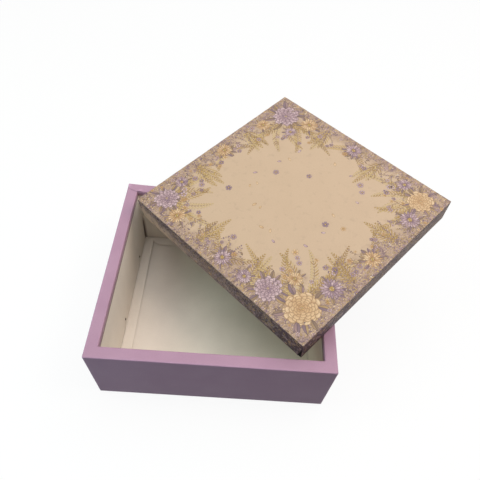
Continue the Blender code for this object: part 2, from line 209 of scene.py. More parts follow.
def new_material(name):
    """A new material, the function that adds nodes to it, and its shader."""
    material = bpy.data.materials.new(name)
    material.use_nodes = True
    tree = material.node_tree
    return material, partial(add_node, tree), tree.nodes["Principled BSDF"]


def even_stops(inks):
    """Stops that share a ramp evenly between inks."""
    return [(i / len(inks), ink) for i, ink in enumerate(inks)]


def seen_share(add):
    """1 for rays that the camera, a mirror or glass sends out, and 0 for all others."""
    path = add("LightPath").outputs
    direct = add("Math", (path["Is Camera Ray"], path["Is Glossy Ray"]), operation="MAXIMUM")
    return add("Math", (direct, path["Is Transmission Ray"]), operation="MAXIMUM")


def per(size):
    """Texture scale, in features to the metre, of a feature of a size."""
    return 1 / size


def smooth_step(low, high, value):
    """0 at low, 1 at high, and a smooth rise between them."""
    share = min(max((value - low) / (high - low), 0), 1)
    return share * share * (3 - 2 * share)


def waves(point, size, shift=(0, 0, 0)):
    """Smooth noise from 0 to 1 at a point, its waves of a size."""
    return 0.5 + 0.5 * noise.noise(Vector(point) * per(size) + Vector(shift))


def bell(distance, width):
    """1 at no distance, falling away as a bell curve of a width."""
    return math.exp(-(distance / width) ** 2)


def towards(turn):
    """Unit vector in the plane, at a turn from its first axis."""
    return Vector((math.cos(turn), math.sin(turn)))


def paper_walk(distance, heading, turn, legs):
    """Place and left-hand normal after a distance along paper that runs straight, then folds.

    Each leg is a straight length and the radius of the quarter turn that follows it. The turn is 1
    for folds to the left and -1 for folds to the right.
    """
    x = y = 0
    for straight, radius in legs:
        run = min(distance, straight)
        x += math.cos(heading) * run
        y += math.sin(heading) * run
        distance -= run
        if distance <= 0:
            break
        swing = min(distance / radius, QUARTER) if radius else 0
        x += radius * turn * (math.sin(heading + turn * swing) - math.sin(heading))
        y -= radius * turn * (math.cos(heading + turn * swing) - math.cos(heading))
        heading += turn * swing
        distance -= radius * swing
        if distance <= 0:
            break
    return Vector((x, y)), Vector((-math.sin(heading), math.cos(heading)))


def stations(*parts):
    """Positions along a line: each part is the position it ends at and its count of steps."""
    found = [0]
    for end, steps in parts:
        start = found[-1]
        found += [start + (end - start) * (i + 1) / steps for i in range(steps)]
    return found


def grid(bm, columns, rows):
    """Add a flat grid of unit size to a bmesh, and give its new vertices."""
    return bmesh.ops.create_grid(bm, x_segments=columns, y_segments=rows, size=0.5)["verts"]


def fold_edges(bm, edges, radius, segments):
    """Round edges of a bmesh to a radius."""
    bmesh.ops.bevel(bm, geom=edges, offset=radius, segments=segments, profile=0.5, affect="EDGES",
                    material=-1)


def finished(name, bm, body, material, replaced=(), wall=0, live=False):
    """Turn a bmesh into a piece that rides on a body, material and wall thickness.

    A live wall is left as a modifier, and any other is made in the mesh.
    """
    if wall and not live:
        bmesh.ops.solidify(bm, geom=bm.faces[:], thickness=wall)
    mesh = bpy.data.meshes.new(name)
    bm.to_mesh(mesh)
    bm.free()
    mesh.shade_smooth()
    mesh.set_sharp_from_angle(angle=SHARP_FROM)
    mesh.materials.append(material)
    made = bpy.data.objects.new(name, mesh)
    bpy.context.scene.collection.objects.link(made)
    if wall and live:
        solid = made.modifiers.new("thickness", "SOLIDIFY")
        solid.thickness, solid.offset = wall, -1
    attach(made, body)
    if replaced:
        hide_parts(*replaced)


def turn_outwards(bm, direction):
    """Make a sheet's faces agree, with those that lie furthest along a direction facing that way."""
    bmesh.ops.recalc_face_normals(bm, faces=bm.faces)
    furthest = max(bm.faces, key=lambda face: face.calc_center_median().dot(direction)
                   + abs(face.normal.dot(direction)))
    if furthest.normal.dot(direction) < 0:
        bmesh.ops.reverse_faces(bm, faces=bm.faces)
    bm.normal_update()


def cut_across(bm, axis, places):
    """Cut every face of a bmesh at each place along an axis."""
    normal = Vector([1 if i == axis else 0 for i in range(3)])
    for place in places:
        bmesh.ops.bisect_plane(bm, geom=bm.verts[:] + bm.edges[:] + bm.faces[:], dist=CLOSE,
                               plane_co=normal * place, plane_no=normal)


# Materials


def lilac_paper(look):
    """Dyed uncoated cover paper, calendered: a dull lilac with a faint sheen and fine fibres."""
    material, add, shader = new_material("dyed_calendered_cover_paper")
    place = add("TexCoord").outputs["Object"]
    # fibres are 0.1 mm wide on the real sheet, drawn at 0.9 mm so that they show
    fibre = add("TexNoise", {"Vector": place, "Scale": per(0.9 * MM), "Detail": 4.0, "Roughness": 0.6})
    cloud = add("TexNoise", {"Vector": place, "Scale": per(38 * MM), "Detail": 2.0, "Roughness": 0.5})
    # the crest attribute lightens the folds: partly rubbed dye, partly painted highlight
    crest = add("Attribute", attribute_name="crest").outputs["Fac"]
    cloud_share = add("MapRange", (cloud, 0.3, 0.7, 0.0, 1.0))
    base = add("Mix", (cloud_share, look.tint, linear("#B08AA0")), data_type="RGBA")
    rubbed_and_highlit = add("Mix", (crest, base, look.crest), data_type="RGBA")
    flecks = add("MapRange", (fibre, 0.25, 0.75, 0.93, 1.06))
    set_inputs(shader, {
        "Base Color": add("VectorMath", (rubbed_and_highlit, flecks), operation="MULTIPLY"),
        "Roughness": add("MapRange", (fibre, 0.0, 1.0, 0.5, 0.68)),
        "Normal": add("Bump", {"Height": fibre, "Strength": 0.35, "Distance": 0.12 * MM}),
        "IOR": 1.45,
        "Sheen Weight": 0.15,
    })
    return material


def cream_card(look):
    """Uncoated folding card: matt cream and faintly mottled, with shade painted along its top edge and
    fold, round its pins and in the corner joint.
    """
    material, add, shader = new_material("uncoated_cream_folding_card")
    place = add("TexCoord").outputs["Object"]
    # the pulp's fibres are drawn at 1.1 mm so that they show
    fibre = add("TexNoise", {"Vector": place, "Scale": per(1.1 * MM), "Detail": 5.0, "Roughness": 0.65})
    cloud = add("TexNoise", {"Vector": place, "Scale": per(45 * MM), "Detail": 3.0, "Roughness": 0.55})
    card_shade = add("Attribute", attribute_name="card_shade").outputs["Fac"]
    cloud_share = add("MapRange", (cloud, 0.3, 0.7, 0.0, 1.0))
    base = add("Mix", (cloud_share, look.tint, linear("#E0D6CA")), data_type="RGBA")
    # the card darkens towards this colour where shade is painted on it
    with_painted_shade = add("Mix", (card_shade, base, look.card_shade), data_type="RGBA")
    flecks = add("MapRange", (fibre, 0.2, 0.8, 0.95, 1.04))
    height = add("Math", (cloud, 4.0, fibre), operation="MULTIPLY_ADD")
    set_inputs(shader, {
        "Base Color": add("VectorMath", (with_painted_shade, flecks), operation="MULTIPLY"),
        "Normal": add("Bump", {"Height": height, "Strength": 0.3, "Distance": 0.15 * MM}),
        "Roughness": 0.78,
        "IOR": 1.45,
    })
    return material


def pressed_board(name, dark, light, grain, roughness):
    """Pressed board, bare and sanded: short chips of one wood or paper pulp, with no grain direction."""
    material, add, shader = new_material(name)
    place = add("TexCoord").outputs["Object"]
    chips = add("TexNoise", {"Vector": place, "Scale": per(grain), "Detail": 6.0, "Roughness": 0.7})
    set_inputs(shader, {
        "Base Color": add("ValToRGB", (chips,), stops=((0.3, dark), (0.7, light))),
        "Normal": add("Bump", {"Height": chips, "Strength": 0.4, "Distance": 0.1 * MM}),
        "Roughness": roughness,
    })
    return material


def drawn_steel():
    """Drawn steel wire, dark from its oxide: small pins and brads with a low, uneven shine."""
    material, add, shader = new_material("dark_drawn_steel")
    place = add("TexCoord").outputs["Object"]
    oxide = add("TexNoise", {"Vector": place, "Scale": per(0.4 * MM), "Detail": 3.0})
    set_inputs(shader, {
        "Base Color": add("ValToRGB", (oxide,), stops=((0.35, "#1C1614"), (0.65, "#40342F"))),
        "Roughness": add("MapRange", (oxide, 0.0, 1.0, 0.35, 0.6)),
        "Metallic": 0.6,
    })
    return material


# Layers of the tiny printed leaves, from the lowest: a leaf's width, its turn in degrees and its inks
LEAF_LAYERS = (
    (2.3 * MM, 25, ("#9F846C", "#947862", "#94797A", "#A58860")),
    (1.8 * MM, -38, ("#B4966A", "#8E7379", "#C2A68C", "#7F6866")),
    (1.4 * MM, 80, ("#C9AC75", "#B3979A", "#DCC3A4", "#7C666C")),
)

# How much a cell of the pattern is squeezed across to make a leaf of it
LEAF_SQUEEZE = 0.36


def leaf_layer(add, sheet, cover, side, number):
    """One layer of tiny leaves: where they stand, and their inks, which are dimmed on the sides."""
    width, turn, inks = LEAF_LAYERS[number]
    turned = add("Mapping", {"Vector": sheet, "Rotation": (0, 0, math.radians(turn)),
                             "Scale": (1, LEAF_SQUEEZE, 1)})
    cells = add("TexVoronoi", {"Vector": turned, "Scale": per(width), "Randomness": 1.0},
                voronoi_dimensions="2D")
    picked = add("SeparateColor", (cells.outputs["Color"],))
    ink = add("ValToRGB", (picked,), even_stops(inks))
    ink.color_ramp.interpolation = "CONSTANT"
    leaf_size = add("Math", (cover, 0.44, -0.07 - 0.03 * number), operation="MULTIPLY_ADD")
    inside = add("Math", (leaf_size, cells.outputs["Distance"]), operation="SUBTRACT")
    mask = add("MapRange", (inside, 0.0, 0.08, 0.0, 0.9))
    return mask, add("Mix", (side, ink, linear("#6E5E70")), data_type="RGBA", blend_type="MULTIPLY")


def printed_sheet(look):
    """Offset-printed art paper: beige ground with a haze of tiny leaves, denser towards the edges.

    The leaves are cells of a Voronoi pattern. The attribute named foliage says how thickly they
    stand, the one named side where the paper hangs down a side, and the map named sheet unfolds
    the paper.
    """
    material, add, shader = new_material("offset_printed_art_paper")
    sheet = add("UVMap", uv_map="sheet")
    foliage = add("Attribute", attribute_name="foliage").outputs["Fac"]
    side = add("Attribute", attribute_name="side").outputs["Fac"]
    haze = add("TexNoise", {"Vector": sheet, "Scale": per(30 * MM), "Detail": 3.0})
    # fibres are drawn at 1.3 mm so that they show
    fibre = add("TexNoise", {"Vector": sheet, "Scale": per(1.3 * MM), "Detail": 4.0, "Roughness": 0.6})
    clumps = add("TexNoise", {"Vector": sheet, "Scale": per(8 * MM), "Detail": 4.0, "Roughness": 0.65})
    clump_share = add("MapRange", (clumps, 0.3, 0.7, -0.4, 0.3))
    cover = add("Math", (foliage, clump_share), operation="ADD")
    ground = add("Mix", (haze, look.ground, linear("#C0A58A")), data_type="RGBA")
    deep = add("Mix", (side, look.shade, look.side_shade), data_type="RGBA")
    shade_share = add("MapRange", (cover, 0.05, 1.2, 0.0, 1.0))
    so_far = add("Mix", (shade_share, ground, deep), data_type="RGBA")
    height = fibre
    for number in range(len(LEAF_LAYERS)):
        mask, ink = leaf_layer(add, sheet, cover, side, number)
        so_far = add("Mix", (mask, so_far, ink), data_type="RGBA")
        height = add("Math", (mask, 0.5, height), operation="MULTIPLY_ADD")
    # on the folds the print is worn through to the paper here and there
    off_side = add("Math", (1.0, side), operation="SUBTRACT")
    on_fold = add("Math", (side, off_side), operation="MULTIPLY")
    rubs = add("MapRange", (fibre, 0.46, 0.6, 0.0, 3.0))
    worn = add("Math", (on_fold, rubs), operation="MULTIPLY", use_clamp=True)
    so_far = add("Mix", (worn, so_far, linear("#CDB9A6")), data_type="RGBA")
    flecks = add("MapRange", (fibre, 0.25, 0.75, 0.95, 1.04))
    set_inputs(shader, {
        "Base Color": add("VectorMath", (so_far, flecks), operation="MULTIPLY"),
        "Normal": add("Bump", {"Height": height, "Strength": 0.35, "Distance": 0.12 * MM}),
        "Roughness": 0.6,
        "IOR": 1.45,
    })
    return material


def raised_ink(name, inks, base_depth, tip_depth, outline, specular=0.5):
    """Screen-printed ink, raised a little: a tint to each petal or leaf, outlined, its base darker."""
    material, add, shader = new_material(name)
    tint, reach, edge = (add("Attribute", attribute_name=attribute).outputs["Fac"]
                         for attribute in ("tint", "reach", "edge"))
    place = add("TexCoord").outputs["Object"]
    # the ink's stipple is drawn at 0.9 mm so that it shows
    stipple = add("TexNoise", {"Vector": place, "Scale": per(0.9 * MM), "Detail": 3.0})
    ink = add("ValToRGB", (tint,), even_stops(inks))
    ink.color_ramp.interpolation = "CONSTANT"
    depth = add("ValToRGB", (reach,), ((0.0, base_depth), (0.6, "#E6E2E4"), (1.0, tip_depth)))
    shaded = add("VectorMath", (ink, depth), operation="MULTIPLY")
    line = add("MapRange", (edge, 0.66, 0.92, 0.0, 0.85), interpolation_type="SMOOTHSTEP")
    lined = add("Mix", (line, shaded, linear(outline)), data_type="RGBA")
    grain = add("MapRange", (stipple, 0.25, 0.75, 0.86, 1.12))
    set_inputs(shader, {
        "Base Color": add("VectorMath", (lined, grain), operation="MULTIPLY"),
        "Normal": add("Bump", {"Height": stipple, "Strength": 0.3, "Distance": 0.1 * MM}),
        "Roughness": 0.5,
        "IOR": 1.45,
        "Specular IOR Level": specular,
    })
    return material


def studio_paper(look):
    """Matt studio paper: white to the camera but for the box's shadow, grey to other light."""
    material, add, shader = new_material("matt_studio_paper")
    place = add("TexCoord").outputs["Object"]
    # the paper's tooth is drawn at 3 mm so that it shows
    tooth = add("TexNoise", {"Vector": place, "Scale": per(3 * MM)})
    seen = seen_share(add)
    pale = add("Mix", (tooth, linear("#FFFFFF"), linear("#FAFAFA")), data_type="RGBA")
    base = add("Mix", (seen, look.floor_tint, pale), data_type="RGBA")
    set_inputs(shader, {"Base Color": base, "Roughness": 0.9, "Specular IOR Level": 0.0})
    white = add("Emission", {"Color": linear("#FFFFFF"), "Strength": 1.0})
    share = add("Math", (seen, 0.9), operation="MULTIPLY")
    mixed = add("MixShader", (share, shader, white))
    set_inputs(material.node_tree.nodes["Material Output"], {"Surface": mixed})
    return material


# The tray

# How far the cover paper is turned in under the bottom, and down inside the rim
TURN_UNDER = 14 * MM
TURN_IN = 12 * MM

# Walls of the tray, with the turn of each one's lining in degrees
LINED_WALLS = {"front": 0, "right": 90, "back": 180, "left": -90}

# A side lining's end is cut back by 8 mm over the 13 mm of its foot, and the other linings' ends meet it
FOOT_MITRE = 8 / 13

# Radius of a pin's shank, and length of its point
PIN_SHANK = 0.45 * MM
PIN_POINT = 1.6 * MM


def rim_width():
    """Width of the tray's rim, from the cover paper's outside to its turned-in face."""
    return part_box("tray_left_lining")[0].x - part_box("tray_cover_paper")[0].x - GLUE_LINE


class HAMPER_OT_cover_paper(bpy.types.Operator):
    """Wrap the tray in lilac paper: up its sides, over the rim and down inside"""

    bl_idname = "hamper.cover_paper"
    bl_label = "Cover paper"

    def execute(self, context):
        look = context.scene.hamper_cover
        low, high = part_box("tray_cover_paper")
        size, middle = high - low, (high + low) / 2
        bm = bmesh.new()
        bmesh.ops.create_cube(
            bm, size=1, matrix=Matrix.Translation(middle) @ Matrix.Diagonal(size).to_4x4())
        top = max(bm.faces, key=lambda face: face.normal.z)
        bottom = min(bm.faces, key=lambda face: face.normal.z)
        bmesh.ops.inset_region(bm, faces=[top], thickness=rim_width(), use_even_offset=True)
        bmesh.ops.inset_region(bm, faces=[bottom], thickness=TURN_UNDER, use_even_offset=True)
        rim_edges = top.edges[:]
        bmesh.ops.delete(bm, geom=[top, bottom], context="FACES_ONLY")
        turned_in = bmesh.ops.extrude_edge_only(bm, edges=rim_edges)["geom"]
        turned_verts = [item for item in turned_in if isinstance(item, bmesh.types.BMVert)]
        bmesh.ops.translate(bm, verts=turned_verts, vec=(0, 0, -TURN_IN))
        turn_outwards(bm, UP)
        inner = [edge for edge in bm.edges
                 if all(abs(v.co.x) < high.x - MM and abs(v.co.y) < high.y - MM for v in edge.verts)
                 and abs(edge.verts[0].co.z - edge.verts[1].co.z) > MM]
        fold_edges(bm, inner, look.inner_fold, 3)
        folds = [edge for edge in bm.edges if len(edge.link_faces) == 2
                 and edge.calc_face_angle() > math.radians(60)]
        fold_edges(bm, folds, look.fold, 4)
        for axis in range(3):
            steps = int(size[axis] / look.cut)
            cut_across(bm, axis, [low[axis] + size[axis] * (i + 0.5) / steps for i in range(steps)])
        # the folds are lighter, more in some places than in others: partly dye rubbed off, partly a painted
        # highlight
        crest = bm.verts.layers.float.new("crest")
        bm.normal_update()
        for vert in bm.verts:
            from_sides = sorted((high.x - abs(vert.co.x), high.y - abs(vert.co.y), high.z - vert.co.z))
            worn = 1 - smooth_step(0.3 * MM, 1.6 * MM, from_sides[1])
            vert[crest] = worn * (0.35 + 0.65 * waves(vert.co, 14 * MM))
        for vert in bm.verts:
            vert.co -= vert.normal * look.ripple * waves(vert.co, 22 * MM, (3, 1, 4))
        finished("cover_paper", bm, "tray", lilac_paper(look), ["tray_cover_paper"],
                 look.thickness, live=True)
        return {"FINISHED"}


class HAMPER_OT_paper_lap(bpy.types.Operator):
    """Lay the overlap of the cover paper across the back left corner of the rim"""

    bl_idname = "hamper.paper_lap"
    bl_label = "Paper lap"

    def execute(self, context):
        look = context.scene.hamper_cover
        low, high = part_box("tray_cover_paper")
        rim = rim_width()
        margin = 0.5 * MM
        # the paper bulges past the inner corner, and close to the outer one a light streak is painted as a
        # highlight
        bulge_place = Vector((low.x + rim + 3.2 * MM, high.y - rim + 1.8 * MM))
        highlight_place = Vector((low.x + 2.6 * MM, high.y - 3 * MM))
        bm = bmesh.new()
        grid(bm, 30, 16)
        crest = bm.verts.layers.float.new("crest")
        for vert in bm.verts:
            along, across = vert.co.x + 0.5, vert.co.y + 0.5
            # the cut edge leaves the outer side below the corner and curves to the inner corner
            curved = max(0, 1 - across / 0.77) ** 2.2
            start = low.x + margin + (rim - margin) * curved
            x = start + (low.x + look.lap_run - start) * along
            y = min(max(high.y - rim * (1 - across), high.y - rim + margin), high.y - margin)
            lift = look.lap_lift * (1 - smooth_step(0, 0.6, along))
            bulge = 0.8 * MM * bell((Vector((x, y)) - bulge_place).length, 2.6 * MM)
            sink = 0.35 * MM * smooth_step(0.6, 1, along)
            rubbed_and_highlit = bell((Vector((x, y)) - highlight_place).length, 1.8 * MM)
            # lighter along the lap's lifted end, with painted highlights on the bulge and in the streak by
            # the outer corner
            vert[crest] = min(1, 0.7 * (1 - smooth_step(0, 0.08, along)) + rubbed_and_highlit + bulge / MM)
            vert.co = (x, y, high.z + lift + bulge - sink)
        turn_outwards(bm, UP)
        finished("cover_paper_lap", bm, "tray", lilac_paper(look), (), look.thickness)
        return {"FINISHED"}


class LiningCard:
    """One lining card: down its wall, round its fold and out along the floor, mitred at its ends.

    Its own X runs along the wall, Y into the tray and Z up. A place on it is given by its share of
    the way from the card's middle to its ends, and by the line, how far down the card it lies.
    """

    def __init__(self, wall, look):
        self.wall, self.look = wall, look
        low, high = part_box("tray_%s_lining" % wall)
        size, middle = high - low, (low + high) / 2
        back = {"front": (middle.x, low.y), "right": (high.x, middle.y), "back": (middle.x, high.y),
                "left": (low.x, middle.y)}[wall]
        turn = Matrix.Rotation(math.radians(LINED_WALLS[wall]), 4, "Z")
        self.place = Matrix.Translation((*back, 0)) @ turn
        pins = [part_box(name) for name in frame["nodes"] if name.startswith("lining_pin_%s" % wall)]
        self.pins = [self.place.inverted() @ ((start + end) / 2) for start, end in pins]
        sideways = wall in ("left", "right")
        self.half_run = (size.y if sideways else size.x) / 2
        self.foot = (size.x if sideways else size.y) - look.thickness
        self.cut_back = FOOT_MITRE if sideways else 1 / FOOT_MITRE
        self.top = high.z
        self.drop = high.z - low.z - look.thickness - look.fold
        # which end of the card, -1 or 1, meets the back wall, and which meets the back left corner
        self.to_back = {"left": -1, "right": 1}.get(wall, 0)
        self.to_slit = {"left": -1, "back": 1}.get(wall, 0)
        self.seed = sum(ord(letter) for letter in wall)

    def sheet(self):
        """The card's face as a bmesh, with the shade painted on it kept as a vertex attribute."""
        # rows of the card, close together at its rubbed top edge, around the pins and round the fold
        bend_end = self.drop + QUARTER * self.look.fold
        lines = stations((1 * MM, 1), (self.drop - 16 * MM, 13), (self.drop, 16), (bend_end, 6),
                         (bend_end + self.foot - self.look.fold, 7))
        rows, columns = len(lines) - 1, 150
        bm = bmesh.new()
        grid(bm, columns, rows)
        card_shade = bm.verts.layers.float.new("card_shade")
        for vert in bm.verts:
            line = lines[round((vert.co.y + 0.5) * rows)]
            vert.co, painted_shade = self.folded(2 * vert.co.x, line)
            vert[card_shade] = min(1, painted_shade)
        return bm

    def folded(self, share, line):
        """Where in the tray a place on the card lies, and how much shade is painted there."""
        look = self.look
        spot, normal = paper_walk(line, -QUARTER, 1, [(self.drop, look.fold), (self.foot, 0)])
        # the top edge is rubbed down on to the cover paper that is turned in behind it
        inward = spot.x + look.thickness - (GLUE_LINE - 0.02 * MM) * (1 - smooth_step(0, 5 * MM, line))
        up = self.top + spot.y
        # the back card stands forward at the floor, and the side cards end against it
        forward = look.come_forward * smooth_step(0, self.drop, line)
        inward += forward if self.wall == "back" else 0
        run = share * (self.half_run - self.cut_back * spot.x)
        run -= self.to_back * forward * smooth_step(0.85, 1, share * self.to_back)
        push = self.unevenness(run, line)
        lift = self.foot_lift(run, share, spot.x)
        # painted shade: darker along the top edge, where the card meets the turned-in paper, and along the
        # fold
        painted_shade = 1 - smooth_step(0, 1 * MM, line)
        painted_shade += 0.3 * (1 - smooth_step(0, 3 * MM, abs(line - self.drop)))
        on_wall = 1 - smooth_step(0, 0.6 * look.fold, spot.x)
        for pin in self.pins:
            looseness, swell, pin_shade = self.pin_marks(run - pin.x, up - pin.z, on_wall)
            push = push * looseness + look.crease * swell
            painted_shade += pin_shade
        # the joint in the back left corner gapes low down, with painted shade in its depth
        low_down = on_wall * (1 - smooth_step(30 * MM, 56 * MM, up))
        painted_shade += 1.2 * low_down * smooth_step(0.965, 0.99, share * self.to_slit)
        if self.wall == "left":
            slit = look.corner_slit * smooth_step(0.9, 1.0, -share) * low_down
            run += slit * (1 - 0.6 * smooth_step(8 * MM, 32 * MM, up))
        return self.place @ Vector((run, inward + normal.x * push, up + normal.y * push + lift)), painted_shade

    def unevenness(self, run, line):
        """How far the card stands off its flat, in slow waves and in the furrows of rubbing down."""
        loose = smooth_step(2 * MM, 14 * MM, line)
        brushed = waves((run * per(7 * MM), line * per(60 * MM), self.seed), 1)
        push = self.look.ripple * waves((run, line, self.seed * MM), 48 * MM) * loose
        return push + self.look.brushing * brushed * loose

    def foot_lift(self, run, share, out):
        """How far the foot has risen along its edge; the left one springs up at its back end."""
        along_foot = smooth_step(self.look.fold, self.foot, out)
        back_end = smooth_step(-0.6, 1.0, -share) if self.wall == "left" else 0
        # elsewhere it has risen to 18 % of that height, in waves
        lift = self.look.foot_lift * along_foot * (0.18 + 0.82 * back_end ** 1.5)
        return lift + 0.24 * MM * along_foot * waves((run * per(26 * MM), self.seed, 0), 1)

    def pin_marks(self, across, rise, on_wall):
        """At a place beside a pin: how loose the card is, how much it swells, and the shade painted on it.
        """
        distance = math.hypot(across, rise)
        # a crease slants from the pin down to the fold, and the card swells beside it
        slant = abs(across - 1.6 * abs(rise)) if rise < 0 else distance
        near = on_wall * smooth_step(1.2 * MM, 3.5 * MM, distance)
        swell = bell(slant - 4 * MM, 2.2 * MM) * smooth_step(0, -5 * MM, rise) * near
        # painted shade along the crease and round the pin's head
        painted_shade = 0.5 * bell(slant, 1.5 * MM) * near + 0.45 * bell(distance, 2.2 * MM)
        return smooth_step(1.2 * MM, 12 * MM, distance), swell, painted_shade


class HAMPER_OT_wall_linings(bpy.types.Operator):
    """Make the four card linings, each folded at the floor, sprung and creased by use"""

    bl_idname = "hamper.wall_linings"
    bl_label = "Wall linings"

    def execute(self, context):
        look = context.scene.hamper_lining
        card = cream_card(look)
        for wall in LINED_WALLS:
            bm = LiningCard(wall, look).sheet()
            turn_outwards(bm, -UP)
            # the sheet is the card's face, so it faces into the tray, with its thickness behind it
            bmesh.ops.reverse_faces(bm, faces=bm.faces)
            bm.normal_update()
            finished("%s_wall_lining" % wall, bm, "tray", card,
                     ["tray_%s_lining" % wall], look.thickness)
        return {"FINISHED"}


class HAMPER_OT_lining_pins(bpy.types.Operator):
    """Turn the steel pins that hold the side linings, each with a domed head on a pointed shank"""

    bl_idname = "hamper.lining_pins"
    bl_label = "Lining pins"

    def execute(self, context):
        look = context.scene.hamper_lining
        steel = drawn_steel()
        for name in sorted(name for name in frame["nodes"] if name.startswith("lining_pin")):
            low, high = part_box(name)
            shoulder = high.x - low.x - look.pin_dome
            outline = [(0, 0), (PIN_POINT, PIN_SHANK), (shoulder, PIN_SHANK)]
            outline += [(shoulder + look.pin_dome * math.sin(turn), look.pin_head * math.cos(turn))
                        for turn in (QUARTER * step / 5 for step in range(6))]
            bm = bmesh.new()
            grid(bm, len(outline) - 1, 1)
            bmesh.ops.delete(bm, geom=[vert for vert in bm.verts if vert.co.y > 0], context="VERTS")
            for vert in bm.verts:
                along, out = outline[round((vert.co.x + 0.5) * (len(outline) - 1))]
                vert.co = (along, 0, out)
            bmesh.ops.spin(bm, geom=bm.verts[:] + bm.edges[:], cent=(0, 0, 0), axis=(1, 0, 0),
                           angle=math.tau, steps=16, use_merge=True)
            bmesh.ops.remove_doubles(bm, verts=bm.verts, dist=CLOSE)
            bmesh.ops.recalc_face_normals(bm, faces=bm.faces)
            middle = (low + high) / 2
            left = middle.x < 0
            tip = (low.x if left else high.x, middle.y, middle.z)
            bm.transform(Matrix.Translation(tip) @ Matrix.Rotation(0 if left else math.pi, 4, "Z"))
            finished(name + "_domed", bm, "tray", steel, [name])
        return {"FINISHED"}


class HAMPER_OT_hidden_pieces(bpy.types.Operator):
    """Give the boards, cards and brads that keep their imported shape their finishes"""

    bl_idname = "hamper.hidden_pieces"
    bl_label = "Boards, cards and brads"

    def execute(self, context):
        finishes = {
            "fibreboard": pressed_board("sanded_fibreboard", "#96734C", "#BC9A72", 0.8 * MM, 0.85),
            "greyboard": pressed_board("grey_bookbinding_board", "#8F887E", "#B0A99F", 1.0 * MM, 0.9),
            "base_card": pressed_board("plain_base_card", "#C2B9AC", "#D8D0C4", 1.2 * MM, 0.8),
            "cream_card": cream_card(context.scene.hamper_lining),
            "steel": drawn_steel(),
        }
        slots = {entry["node"]: entry["material_slot"] for entry in frame["record"]["subparts"]}
        for name, node in frame["nodes"].items():
            finish = finishes.get(slots[name])
            if finish and not node.hide_render:
                node.data.materials.clear()
                node.data.materials.append(finish)
        return {"FINISHED"}


# The lid

# Thickness of the lid's edge with its lining, and width of the tab folded round each corner
LID_EDGE = 3.1 * MM
CORNER_TAB = 18 * MM

# How wide the open joints at the other corners are, as a share of the front corner's wedge
OTHER_JOINTS = 0.4

# Flowers of each corner's bed: the corner's side along u and v, then each flower's kind, ink, distance
# in from the two edges and radius in millimetres. The first is the largest, and ferns spread from it
BEDS = (
    (1, -1, (("rosette", "cream", 29, 30, 21), ("rosette", "lilac", 69, 22, 16),
             ("aster", "lilac", 22, 68, 13), ("aster", "cream", 57, 50, 9), ("aster", "lilac", 97, 15, 9))),
    (-1, 1, (("rosette", "lilac", 28, 28, 19), ("aster", "cream", 61, 19, 12),
             ("aster", "cream", 18, 60, 10), ("aster", "lilac", 52, 45, 8))),
    (-1, -1, (("rosette", "lilac", 24, 25, 16), ("aster", "cream", 52, 17, 11),
              ("aster", "lilac", 17, 54, 9))),
    (1, 1, (("rosette", "cream", 25, 25, 16), ("aster", "lilac", 18, 55, 12),
            ("aster", "lilac", 53, 17, 9))),
)

# The aster at the middle of each edge: its distance in from the edge and its radius, in millimetres
EDGE_ASTER = (15, 10.5)


def lid_place():
    """The lid's own frame, read from its packed sheet, and its width, depth and height.

    X runs along its width towards the front corner, Y along its depth, and Z up from its lower edge.
    """
    mesh = frame["nodes"]["lid_print_sheet"].data
    faces = [(face.area, face.normal.copy()) for face in mesh.polygons]
    up = max(faces, key=lambda face: face[0] * face[1].z)[1].normalized()
    level = [face for face in faces if abs(face[1].dot(up)) < 0.1]
    width_way = max(level, key=lambda face: face[0] * (face[1].x - face[1].y))[1]
    width_way = (width_way - up * width_way.dot(up)).normalized()
    axes = Matrix((width_way, up.cross(width_way), up))
    points = [axes @ vert.co for vert in mesh.vertices]
    low = Vector([min(point[i] for point in points) for i in range(3)])
    high = Vector([max(point[i] for point in points) for i in range(3)])
    foot = Vector(((low.x + high.x) / 2, (low.y + high.y) / 2, low.z))
    return Matrix.Translation(axes.transposed() @ foot) @ axes.transposed().to_4x4(), high - low


